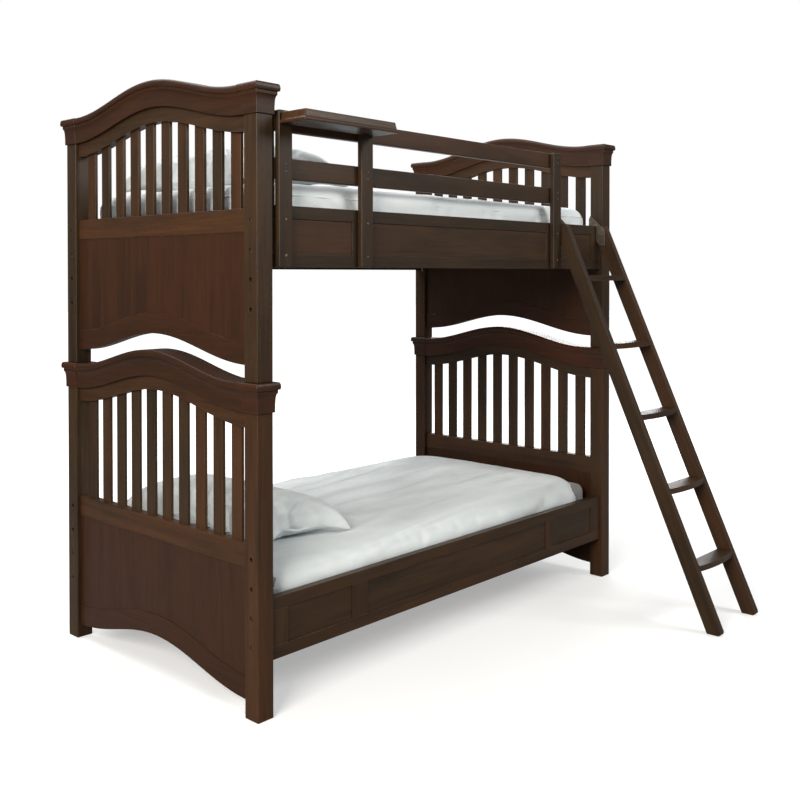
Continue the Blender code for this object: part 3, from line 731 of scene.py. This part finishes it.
def turned(bm, face, facing, rings):
    """Lofts rings that are given about the point face, with Z facing out."""
    place = Matrix.Translation(face) @ facing.to_track_quat("Z", "Y").to_matrix().to_4x4()
    lofted([[place @ Vector(point) for point in ring] for ring in rings], bm)


def hex_bolt(bm, face, facing, radius, length):
    """A round, slightly domed head with a hexagonal socket."""
    rings = []
    for share, height in ((1.0, -length), *BOLT_FACE):
        rings.append([(radius * share * cos(a), radius * share * sin(a), height)
                      for a in ROUND_ANGLES])
    for height in SOCKET_HEIGHTS:
        ring = []
        for angle in ROUND_ANGLES:
            flat = cos(pi / 6) / cos((angle % (pi / 3)) - pi / 6)
            reach = radius * SOCKET_SHARE * flat
            ring.append((reach * cos(angle), reach * sin(angle), height))
        rings.append(ring)
    turned(bm, face, facing, rings)


def screw_head(bm, face, facing, radius):
    """A pan-head screw: a low dome with a cross recess made by four sunk arms."""
    rings = [[(radius * cos(a), radius * sin(a), -SCREW_SKIRT) for a in ROUND_ANGLES]]
    for k in range(SCREW_DOME_STEPS + 1):
        bend = pi / 2 * k / SCREW_DOME_STEPS
        lift = SCREW_DOME * sin(bend)
        reach = radius * cos(bend * SCREW_DOME_SHARE)
        ring = []
        for i, angle in enumerate(ROUND_ANGLES):
            arm = i % (ROUND_STEPS // 4) == 0 and k > 1
            ring.append((reach * cos(angle), reach * sin(angle), lift - SCREW_RECESS * arm))
        rings.append(ring)
    turned(bm, face, facing, rings)


# ---- sides and decks

RAIL_END_GAP = 0.0003
STRAP_END, STRAP_SINK = 0.02, 0.0002
STRAP_EASE = 0.0006


def side_rail(tier, side):
    """Rails and stiles round one long and two short sunk panels."""
    node = f"{tier}_{side[0]}_side_rail"
    low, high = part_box(node)
    half = high.x
    in0, in1 = low.z + PANEL_MARGIN, high.z - PANEL_MARGIN
    boards = Boards()
    for z0, z1 in ((low.z, in0), (in1, high.z)):
        boards.add(block((low.x, low.y, z0), (high.x, high.y, z1)), X, PANEL_EASE, 2)
    short_out = half + RAIL_END_GAP - END_STILE
    short_in = short_out - SHORT_RECESS
    long_end = short_in - MID_STILE
    stiles = ((-half, -short_out), (-short_in, -long_end), (long_end, short_in), (short_out, half))
    for x0, x1 in stiles:
        boards.add(block((x0, low.y, in0), (x1, high.y, in1)), Z, STILE_EASE, 2)
    face = [low.y, high.y]
    face[0 if side[1] < 0 else 1] -= side[1] * RECESS_DEPTH
    for x0, x1 in ((-short_out, -short_in), (-long_end, long_end), (short_in, short_out)):
        boards.add(block((x0, face[0], in0), (x1, face[1], in1)), X, STILE_EASE, 2)
    stained(boards, node, f"{tier}_bunk", DARK_WOOD)


def deck(tier):
    """Thirteen loose slats with two webbing straps along them, and the ledgers that carry them."""
    node = f"{tier}_deck"
    low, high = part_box(node)
    body = f"{tier}_bunk"
    pitch = (high.x - low.x - DECK_SLAT_WIDTH) / (DECK_SLATS - 1)
    boards = Boards()
    for i in range(DECK_SLATS):
        x = low.x + i * pitch
        slat = block((x, low.y, low.z), (x + DECK_SLAT_WIDTH, high.y, high.z - STRAP_THICK))
        boards.add(slat, Y, DECK_EASE, 2)
    boards.piece(f"{node}_slats", PALE_WOOD, body, "plain_hardwood", node)
    bm = bmesh.new()
    for sign in (-1, 1):
        y = BED_Y + sign * STRAP_Y
        block((low.x + STRAP_END, y - STRAP_WIDTH / 2, high.z - STRAP_THICK),
              (high.x - STRAP_END, y + STRAP_WIDTH / 2, high.z - STRAP_SINK), bm)
    straps = to_object(bm, f"{node}_straps")
    bevelled(straps, STRAP_EASE)
    straps.data.materials.append(WEBBING)
    settle(straps, body, "linen")
    for side in SIDES:
        node = f"{tier}_{side[0]}_ledger"
        low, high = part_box(node)
        ledger = Boards().add(block(low, high), X, SLAT_EASE, 2)
        ledger.piece(f"{node}_wood", PALE_WOOD, body, "plain_hardwood", node)


# ---- guards and tray

RAIL_SCREW_INSETS = (0.035, 0.045)
RAIL_SCREW_RADIUS = 0.0048
BOARD_SCREW_RADIUS = 0.0042
SCREW_SPREAD = 0.012


def guards():
    """The front guard's two long boards, their uprights and the screws that hold them."""
    for name, along, ease in (("mid_board", X, GUARD_EASE), ("top_board", X, GUARD_EASE),
                              ("end_strip", Z, STRIP_EASE), ("head_upright", Z, GUARD_EASE),
                              ("middle_upright", Z, GUARD_EASE), ("foot_upright", Z, GUARD_EASE)):
        node = f"front_guard_{name}"
        stained(Boards().add(block(*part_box(node)), along, ease), node, "upper_bunk", DARK_WOOD)

    bm = bmesh.new()
    rail_low, rail_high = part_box("upper_front_side_rail")
    for name in ("head", "middle", "foot"):
        low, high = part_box(f"front_guard_{name}_upright")
        x = (low.x + high.x) / 2
        for z in (rail_low.z + RAIL_SCREW_INSETS[0], rail_high.z - RAIL_SCREW_INSETS[1]):
            screw_head(bm, Vector((x, low.y, z)), -Y, RAIL_SCREW_RADIUS)
        for board in GUARD_BOARDS if name == "foot" else GUARD_BOARDS[:1]:
            for offset in (-SCREW_SPREAD, SCREW_SPREAD):
                spot = Vector((x, low.y, (board[0] + board[1]) / 2 + offset))
                screw_head(bm, spot, -Y, BOARD_SCREW_RADIUS)
    metal_piece(bm, "guard_screws", "upper_bunk")


TRAY_CORNER = 0.004
TRAY_RIM_INSET = 0.0104
TRAY_INNER_RUN = 0.0076
TRAY_EDGE = 0.0012
# Pairs of an inset from the tray's box and a height above its foot.
TRAY_FOOT = ((0.0012, 0.0), (0.0, 0.0012), (0.0, 0.0075), (0.0006, 0.0088), (0.0024, 0.0100),
             (0.0040, 0.0120), (0.0050, 0.0160), (0.0058, 0.0210), (0.0066, 0.0260))
# Pairs of an inset and a depth below the tray's rim, then an inset and a height above its floor.
TRAY_RIM = ((0.0078, 0.0020), (0.0090, 0.0004), (0.0104, 0.0), (0.0150, 0.0), (0.0164, 0.0006),
            (0.0178, 0.0020))
TRAY_FLOOR = ((0.0180, 0.0040), (0.0192, 0.0012), (0.0220, 0.0002))


def tray():
    """A shallow tray whose outside swells towards its foot, hollowed to a thin rim."""
    low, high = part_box("tray")
    tall = high.z - low.z
    profile = [*TRAY_FOOT, *((inset, tall - depth) for inset, depth in TRAY_RIM)]
    profile += [(inset, TRAY_WALL + height) for inset, height in TRAY_FLOOR]
    rings = []
    for inset, height in profile:
        inner = min(1.0, max(0.0, (inset - TRAY_RIM_INSET) / TRAY_INNER_RUN))
        back = TRAY_WALL * inner + TRAY_EDGE * (inset > 0)
        x0, x1 = low.x + inset, high.x - inset
        y0, y1 = low.y + inset, high.y - back
        ring = []
        for sign_x, sign_y, start in CORNERS:
            middle = ((x1 if sign_x > 0 else x0) - sign_x * TRAY_CORNER,
                      (y1 if sign_y > 0 else y0) - sign_y * TRAY_CORNER)
            ring += arc(middle, TRAY_CORNER, start, start + 90, 4)
        rings.append([(u, v, low.z + height) for u, v in ring])
    stained(Boards().add(lofted(rings), X), "tray", "upper_bunk", DARK_WOOD)


# ---- ladder

NOSE_STEPS, SHOE_STEPS = 14, 10
TREAD_STEPS = 28
HOOK_SCREWS = ((-0.0175, 1.478), (-0.0175, 1.520))
HOOK_SCREW_RADIUS = 0.0045


def ladder():
    """Two leaning stringers with round noses and shoes, bowed treads, and the hooks' screws."""
    slant = hypot(1.0, LADDER_SLOPE)
    lean = degrees(atan(LADDER_SLOPE))
    climb = Vector((0.0, LADDER_SLOPE, 1.0)).normalized()
    for side in ("left", "right"):
        node = f"ladder_{side}_stringer"
        low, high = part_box(node)
        shoe_y = -LADDER_FRONT_REACH + SHOE_RADIUS * (LADDER_SLOPE + slant)
        nose_z = high.z - NOSE_RADIUS
        nose_y = -LADDER_FRONT_REACH + nose_z * LADDER_SLOPE + NOSE_RADIUS * slant
        outline = [(-LADDER_BACK_REACH, 0.0), (0.0, LADDER_BACK_REACH / LADDER_SLOPE),
                   (0.0, high.z)]
        outline += arc((nose_y, nose_z), NOSE_RADIUS, 90, 180 - lean, NOSE_STEPS)
        outline += arc((shoe_y, SHOE_RADIUS), SHOE_RADIUS, 180 - lean, 270, SHOE_STEPS)
        bm = slab(outline, low.x, high.x, lambda u, v, w: (w, FRONT_Y + u, v))
        stained(Boards().add(bm, climb, STRINGER_EASE), node, "ladder", DARK_WOOD)
    for k in range(1, TREADS + 1):
        node = f"ladder_tread_{k}"
        low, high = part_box(node)
        half = (high.x - low.x) / 2
        radius = (half ** 2 + TREAD_BOW ** 2) / (2 * TREAD_BOW)
        spread = degrees(asin(half / radius))
        outline = [(high.x, high.y), (low.x, high.y)]
        middle = ((low.x + high.x) / 2, low.y + radius)
        outline += arc(middle, radius, 270 - spread, 270 + spread, TREAD_STEPS)
        bm = slab(outline, low.z, high.z, lambda u, v, w: (u, v, w))
        stained(Boards().add(bm, X, TREAD_EASE, 4), node, "ladder", DARK_WOOD)
    bm = bmesh.new()
    for side, facing in (("left", 1), ("right", -1)):
        low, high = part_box(f"ladder_{side}_hook")
        face = high.x if facing > 0 else low.x
        for y, z in HOOK_SCREWS:
            screw_head(bm, Vector((face, FRONT_Y + y, z)), X * facing, HOOK_SCREW_RADIUS)
    metal_piece(bm, "ladder_hook_screws", "ladder")


# ---- finished CAD nodes

WELD_REACH = 0.00002
METAL_EASE = 0.0005


def coat_cad_nodes():
    """The stacking pins and the ladder's hooks keep their CAD shapes."""
    for name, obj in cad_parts.items():
        if "stacking_pin" in name or "hook" in name:
            obj.data.materials.clear()
            obj.data.materials.append(BLACK_STEEL)
            weld = obj.modifiers.new("weld", "WELD")
            weld.merge_threshold = WELD_REACH
            bevelled(obj, METAL_EASE)


# ---- bedding

def smooth(value):
    """Goes from 0 to 1 with no kink at either end."""
    value = min(max(value, 0.0), 1.0)
    return value * value * (3 - 2 * value)


FOOT_BLEND_START, FOOT_BLEND_LENGTH = 0.3, 0.8


def laid(u, v, form):
    """Where the point (u, v) of a flat cloth lies when it is smoothed over a rounded block."""
    round_foot = smooth((u + FOOT_BLEND_START) / FOOT_BLEND_LENGTH)
    corner = form["head_corner"] + (form["foot_corner"] - form["head_corner"]) * round_foot
    edge = form["edge"]
    inner_x, inner_y = form["half_x"] - corner, form["half_y"] - corner
    near = Vector((min(max(u, -inner_x), inner_x), min(max(v, -inner_y), inner_y)))
    away = Vector((u, v)) - near
    reach = away.length
    facing = away / reach if reach > 1e-9 else Vector((0.0, 0.0))
    bend = (reach - (corner - edge)) / edge
    swell = (1 - (u / form["half_x"]) ** 2) * (1 - (v / form["half_y"]) ** 2)
    crest = form["top"] + form["crown"] * swell
    if bend <= 0:
        spot, z = near + away, crest
    elif bend < pi / 2:
        spot = near + facing * (corner - edge + edge * sin(bend))
        z = crest - edge * (1 - cos(bend))
    else:
        spot = near + facing * corner
        hang = edge * (bend - pi / 2)
        z = crest - edge - form["hem"] * (1 - exp(-hang / form["hem"]))
    return Vector((form["x"] + spot.x, BED_Y + spot.y, z))


def cloth_grid(form, drop, columns, rows, lift=0.0):
    """A grid smoothed over the block, hanging a drop past the start of its rounded edge."""
    reach_u = form["half_x"] - form["edge"] + drop
    reach_v = form["half_y"] - form["edge"] + drop
    raised = dict(form, **{key: form[key] + lift for key in ("top", "half_x", "half_y")})
    bm = bmesh.new()
    net = []
    for i in range(columns + 1):
        u = -reach_u + 2 * reach_u * i / columns
        net.append([bm.verts.new(laid(u, -reach_v + 2 * reach_v * j / rows, raised))
                    for j in range(rows + 1)])
    for i in range(columns):
        for j in range(rows):
            bm.faces.new((net[i][j], net[i + 1][j], net[i + 1][j + 1], net[i][j + 1]))
    bm.verts.index_update()
    return bm


CLOTH_SETTINGS = {"quality": 6, "mass": 0.25, "air_damping": 2.0}
CLOTH_DISTANCE = 0.003
FORM_THICKNESS, FORM_FRICTION = 0.004, 12.0


def simulate(obj, frames, stiff, bend, pinned=(), form=None, pressure=0.0, gravity=1.0, grow=0.0):
    """Runs Blender's cloth on obj, leaves only the result, and returns where its points began."""
    scene = bpy.context.scene
    if pinned:
        group = obj.vertex_groups.new(name="pinned")
        group.add(list(pinned), 1.0, "REPLACE")
    if form is not None:
        form.modifiers.new("collision", "COLLISION")
        form.collision.thickness_outer = FORM_THICKNESS
        form.collision.cloth_friction = FORM_FRICTION
    cloth_modifier = obj.modifiers.new("cloth", "CLOTH")
    settings = cloth_modifier.settings
    for key, value in CLOTH_SETTINGS.items():
        setattr(settings, key, value)
    settings.tension_stiffness = settings.compression_stiffness = stiff
    settings.shear_stiffness = stiff / 2
    settings.bending_stiffness = bend
    settings.shrink_min = -grow
    settings.effector_weights.gravity = gravity
    if pinned:
        settings.vertex_group_mass = "pinned"
    if pressure:
        settings.use_pressure = True
        settings.uniform_pressure_force = pressure
    cloth_modifier.collision_settings.use_collision = form is not None
    cloth_modifier.collision_settings.distance_min = CLOTH_DISTANCE
    cloth_modifier.point_cache.frame_end = frames
    for step in range(1, frames + 1):
        scene.frame_set(step)
    solid = obj.evaluated_get(bpy.context.evaluated_depsgraph_get())
    result = bpy.data.meshes.new_from_object(solid)
    obj.modifiers.clear()
    obj.vertex_groups.clear()
    before = [vert.co.copy() for vert in obj.data.vertices]
    obj.data = result
    scene.frame_set(1)
    return before


FOLD_PAST_END, FOLD_TAPER = 0.15, 0.4
FOLD_BOW = 0.03


def fold_height(x, y):
    """Height of the cover's long, soft folds at one place."""
    total = 0.0
    for (x0, y0), (x1, y1), height, width in FOLDS:
        along = Vector((x1 - x0, y1 - y0))
        share = (Vector((x - x0, y - y0)).dot(along)) / along.length_squared
        if -FOLD_PAST_END < share < 1 + FOLD_PAST_END:
            ends = (smooth((share + FOLD_PAST_END) / FOLD_TAPER)
                    * smooth((1 + FOLD_PAST_END - share) / FOLD_TAPER))
            off = ((x - x0) * along.y - (y - y0) * along.x) / along.length
            bow = FOLD_BOW * sin(pi * min(max(share, 0.0), 1.0))
            total += height * ends * exp(-((off - bow) / width) ** 2)
    return total


# The rounded block that each cover is smoothed over, and how far the cover hangs down it.
COVER_FORMS = {
    "lower": {"head_corner": 0.09, "foot_corner": 0.165, "edge": 0.072, "crown": 0.006,
              "drop": 0.150, "hem": 0.035},
    "upper": {"head_corner": 0.07, "foot_corner": 0.10, "edge": 0.040, "crown": 0.004,
              "drop": 0.160, "hem": 0.060},
}
# Where each fold starts and ends, its height and its width.
FOLDS = (
    ((-0.42, 0.48), (0.55, 0.62), 0.021, 0.030),
    ((-0.38, 0.36), (0.72, 0.47), 0.023, 0.034),
    ((-0.30, 0.58), (0.60, 0.74), 0.019, 0.027),
    ((-0.34, 0.24), (0.50, 0.31), 0.017, 0.030),
    ((-0.52, 0.68), (0.10, 0.77), 0.018, 0.026),
    ((0.10, 0.16), (0.78, 0.21), 0.012, 0.038),
    ((-0.70, -0.06), (-0.10, 0.06), 0.015, 0.030),
    ((0.20, 0.68), (0.80, 0.60), 0.014, 0.028),
)
COVER_COLUMNS, COVER_ROWS = 130, 72
COVER_FRAMES = 26
COVER_STIFF, COVER_BEND = 15.0, 14.0
COVER_GROW = 0.014
COVER_REACH = 0.016
COVER_SINK, COVER_SWELL = 0.003, 0.009
COVER_LIFT = 0.001
COVER_THICK = 0.004
COVER_TOP_ROOM = 0.008
COVER_END_SWELL = 0.001
COVER_SIDE_ROOM = 0.002
RIPPLE_HEIGHT = 0.004
RIPPLE_PITCH = (2.1, 7.0)
TOP_DEPTH = 0.03
FORM_COLUMNS, FORM_ROWS = 90, 50
FORM_DROP, FORM_SINK = 0.01, 0.004
TICKING_COLUMNS, TICKING_ROWS = 96, 52
TICKING_CORNER = 0.045
TICKING_EDGE = 0.030
TICKING_EDGE_STEP = 0.008
TICKING_TOP_GAP = 0.024
TICKING_END_GAP = 0.004
TICKING_SIDE_GAP = 0.010
TICKING_BASE_GAP = 0.004
PIPING_RADIUS = 0.0028
PIPING_OUT = 0.8
PIPING_SIDES, PIPING_STEPS = 8, 14


def filled(obj, material, body, node):
    """Finishes obj as a filled piece of cloth that stands for one CAD node."""
    painted(obj, material)
    settle(obj, body, "linen", node)


def subdivided(obj):
    """Adds one level of subdivision."""
    subdivide = obj.modifiers.new("fine", "SUBSURF")
    subdivide.levels = subdivide.render_levels = 1


def mattress(tier):
    """The mattress in its ticking, the smooth cover laid over it and the cover's piping."""
    low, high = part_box(f"{tier}_mattress")
    form = dict(COVER_FORMS[tier], x=(low.x + high.x) / 2, top=high.z - COVER_TOP_ROOM,
                half_x=(high.x - low.x) / 2 + COVER_END_SWELL,
                half_y=(high.y - low.y) / 2 - COVER_SIDE_ROOM)
    core(tier, form, low, high)
    cover(tier, form)
    piping(tier, form)


def core(tier, form, low, high):
    """The closed mattress under the cover; the upper one is as white as its cover."""
    edge = min(TICKING_EDGE, form["edge"] - TICKING_EDGE_STEP)
    top = form["top"] - TICKING_TOP_GAP
    form = dict(form, foot_corner=TICKING_CORNER, head_corner=TICKING_CORNER, edge=edge, top=top,
                half_x=(high.x - low.x) / 2 - TICKING_END_GAP,
                half_y=form["half_y"] - TICKING_SIDE_GAP, crown=0.0, hem=1.0)
    drop = edge * (pi / 2 - 1) + (top - low.z) - TICKING_BASE_GAP
    bm = cloth_grid(form, edge + drop, TICKING_COLUMNS, TICKING_ROWS)
    bmesh.ops.contextual_create(bm, geom=[side for side in bm.edges if side.is_boundary])
    bmesh.ops.recalc_face_normals(bm, faces=bm.faces)
    obj = to_object(bm, f"{tier}_mattress_ticking")
    node = f"{tier}_mattress"
    filled(obj, TICKING if tier == "lower" else SATEEN, node, node)


def cover(tier, form):
    """A flat cloth with soft folds, smoothed over the mattress and let settle."""
    bm = cloth_grid(form, form["drop"], COVER_COLUMNS, COVER_ROWS, COVER_LIFT)
    rim = [vert.index for vert in bm.verts if vert.is_boundary]
    for vert in bm.verts:
        spot = vert.co
        flat = smooth((spot.z - form["top"] + TOP_DEPTH) / TOP_DEPTH)
        ripple = noise.noise(Vector((spot.x * RIPPLE_PITCH[0], spot.y * RIPPLE_PITCH[1],
                                     3.0 + len(tier))))
        spot.z += flat * (RIPPLE_HEIGHT * ripple + fold_height(spot.x, spot.y))
    obj = to_object(bm, f"{tier}_cover")
    under = cloth_grid(form, form["drop"] + FORM_DROP, FORM_COLUMNS, FORM_ROWS, -FORM_SINK)
    under = to_object(under, "form")
    facing = [vert.normal.copy() for vert in obj.data.vertices]
    before = simulate(obj, COVER_FRAMES, COVER_STIFF, COVER_BEND, rim, under, grow=COVER_GROW)
    bpy.data.objects.remove(under)
    for vert, start, normal in zip(obj.data.vertices, before, facing):
        moved = vert.co - start
        if moved.length > COVER_REACH:
            moved *= COVER_REACH / moved.length
        out = moved.dot(normal)
        moved += normal * (min(max(out, -COVER_SINK), COVER_SWELL) - out)
        vert.co = start + moved
    relax = obj.modifiers.new("relax", "SMOOTH")
    relax.factor = 0.5
    relax.iterations = 2
    subdivided(obj)
    thick = obj.modifiers.new("thickness", "SOLIDIFY")
    thick.thickness = COVER_THICK
    thick.offset = -1.0
    filled(obj, SATEEN, f"{tier}_mattress", f"{tier}_mattress")


def piping(tier, form):
    """The corded seam round the cover, where its top turns into its side."""
    path = []
    for sign_x, sign_y, start in CORNERS:
        corner = form["foot_corner"] if sign_x > 0 else form["head_corner"]
        for step in range(PIPING_STEPS + 1):
            angle = radians(start + 90 * step / PIPING_STEPS)
            spot = Vector((sign_x * (form["half_x"] - corner) + corner * cos(angle),
                           sign_y * (form["half_y"] - corner) + corner * sin(angle)))
            path.append((spot, Vector((cos(angle), sin(angle)))))
    bm = bmesh.new()
    rings = []
    for spot, away in path:
        ring = []
        for side in range(PIPING_SIDES):
            turn = 2 * pi * side / PIPING_SIDES
            out = PIPING_RADIUS * (PIPING_OUT + cos(turn))
            z = form["top"] - form["edge"] + PIPING_RADIUS * sin(turn)
            x, y = form["x"] + spot.x + away.x * out, BED_Y + spot.y + away.y * out
            ring.append(bm.verts.new((x, y, z)))
        rings.append(ring)
    for one, two in zip(rings, rings[1:] + rings[:1]):
        for side in range(PIPING_SIDES):
            after = (side + 1) % PIPING_SIDES
            bm.faces.new((one[side], one[after], two[after], two[side]))
    bmesh.ops.recalc_face_normals(bm, faces=bm.faces)
    obj = to_object(bm, f"{tier}_cover_piping")
    painted(obj, SATEEN)
    settle(obj, f"{tier}_mattress", "linen", f"{tier}_mattress")


PILLOW_TURN = {"lower": radians(2.0), "upper": radians(-1.5)}
PILLOW_COLUMNS, PILLOW_ROWS = 44, 70
PILLOW_PUFF = 0.010
PILLOW_SHEET_GAP = 0.002
PILLOW_DENT = 0.0012
PILLOW_PULL = (0.012, 0.008)
PILLOW_CUT = (1.07, 1.05)
PILLOW_FRAMES = 24
PILLOW_STIFF, PILLOW_BEND = 12.0, 0.4
PILLOW_PRESSURE = 5.0
PILLOW_HEM = 0.25
PILLOW_CREST = 0.98
PILLOW_FULLNESS = 0.50
PILLOW_UNDER = 0.22
PILLOW_FLATTEN = 1.6
PILLOW_SHRINK = 0.985
CORNER_SAG = 0.034
SAG_START, SAG_LENGTH = 0.9, 1.1


def pillow_sheets(tier, half_x, half_y):
    """Two flat sheets, one over the other, that share the points of their rim."""
    bm = bmesh.new()
    layers = []
    for side in (-1, 1):
        layer = {}
        for i in range(PILLOW_COLUMNS + 1):
            for j in range(PILLOW_ROWS + 1):
                u, v = 2 * i / PILLOW_COLUMNS - 1, 2 * j / PILLOW_ROWS - 1
                rim = i in (0, PILLOW_COLUMNS) or j in (0, PILLOW_ROWS)
                if rim and side > 0:
                    layer[i, j] = layers[0][i, j]
                    continue
                puff = PILLOW_PUFF * side * (1 - u ** 4) * (1 - v ** 4)
                puff += PILLOW_SHEET_GAP * side * (not rim)
                dent = PILLOW_DENT * noise.noise(Vector((6 * u, 6 * v, 2.0 * side + len(tier))))
                pull_x = 1 - PILLOW_PULL[0] * (1 - v * v) * u * u
                pull_y = 1 - PILLOW_PULL[1] * (1 - u * u) * v * v
                layer[i, j] = bm.verts.new((u * half_x * PILLOW_CUT[0] * pull_x,
                                            v * half_y * PILLOW_CUT[1] * pull_y, puff + dent))
        layers.append(layer)
    for side, layer in zip((-1, 1), layers):
        for i in range(PILLOW_COLUMNS):
            for j in range(PILLOW_ROWS):
                quad = [layer[i, j], layer[i + 1, j], layer[i + 1, j + 1], layer[i, j + 1]]
                bm.faces.new(quad if side > 0 else quad[::-1])
    return bm


def pillow(tier):
    """A cotton pillow: two sheets joined at a thin hem, blown up and laid down in its box."""
    node = f"{tier}_pillow"
    low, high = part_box(node)
    half_x, half_y = (high.x - low.x) / 2, (high.y - low.y) / 2
    tall = high.z - low.z
    hem_z = low.z + PILLOW_HEM * tall
    obj = to_object(pillow_sheets(tier, half_x, half_y), f"{tier}_pillow_case")
    simulate(obj, PILLOW_FRAMES, PILLOW_STIFF, PILLOW_BEND, pressure=PILLOW_PRESSURE,
             gravity=0.0)
    span_low, span_high = (Vector([pick(vert.co[k] for vert in obj.data.vertices)
                                   for k in range(3)]) for pick in (min, max))
    turn = Matrix.Rotation(PILLOW_TURN[tier], 3, "Z")
    for vert in obj.data.vertices:
        x = 2 * (vert.co.x - span_low.x) / (span_high.x - span_low.x) - 1
        y = 2 * (vert.co.y - span_low.y) / (span_high.y - span_low.y) - 1
        if vert.co.z > 0:
            share = (vert.co.z / span_high.z) ** PILLOW_FULLNESS
            z = (1 - PILLOW_HEM) * tall * PILLOW_CREST * share
        else:
            z = -PILLOW_UNDER * tall * min(1.0, PILLOW_FLATTEN * vert.co.z / span_low.z)
        sag = CORNER_SAG * smooth((x * x + y * y - SAG_START) / SAG_LENGTH)
        spot = turn @ Vector((x * half_x * PILLOW_SHRINK, y * half_y * PILLOW_SHRINK, 0.0))
        vert.co = (spot.x + (low.x + high.x) / 2, spot.y + BED_Y, hem_z + z - sag)
    subdivided(obj)
    filled(obj, SATEEN, node, node)


# ---- the whole scene

camera()
studio()
# Each worn colour is the lighter edge colour: part wear, part a painted highlight.
DARK_WOOD = wood("dark_cherry", dark=(0.0155, 0.0090, 0.0042), middle=(0.0330, 0.0185, 0.0078),
                 red=(0.0560, 0.0265, 0.0108), edge_wear_and_highlight=(0.13, 0.080, 0.042), rough=0.42, coat=0.08)
RED_WOOD = wood("red_cherry", dark=(0.0235, 0.0088, 0.0034), middle=(0.0345, 0.0125, 0.0044),
                red=(0.0470, 0.0160, 0.0056), edge_wear_and_highlight=(0.13, 0.064, 0.029), rough=0.42, coat=0.08)
PALE_WOOD = wood("plain_hardwood", dark=(0.30, 0.175, 0.085), middle=(0.47, 0.30, 0.165),
                 red=(0.55, 0.36, 0.20), edge_wear_and_highlight=(0.60, 0.42, 0.26), rough=0.60, coat=0.0)
BLACK_STEEL = steel("blackened_steel", (0.120, 0.100, 0.080), rough=0.40)
WEBBING = webbing("strap_webbing")
TICKING = ticking_cloth("grey_ticking")
# The sateen's shade colour is painted in broad streaks, in place of fold shading.
SATEEN = cloth("white_sateen", colour=(0.80, 0.85, 0.86), shade=(0.65, 0.70, 0.715),
               thread=0.0016, rough=0.50, sheen=0.25)

for tier_name in TIERS:
    for bed_end in ENDS:
        for bed_side in SIDES:
            post(tier_name, bed_end, bed_side)
        crown(tier_name, bed_end)
        slat_frame(tier_name, bed_end)
        arched_boards(tier_name, bed_end)
    for bed_side in SIDES:
        side_rail(tier_name, bed_side)
    deck(tier_name)
    rail_bolts(tier_name)
    mattress(tier_name)
    pillow(tier_name)
guards()
tray()
ladder()
coat_cad_nodes()
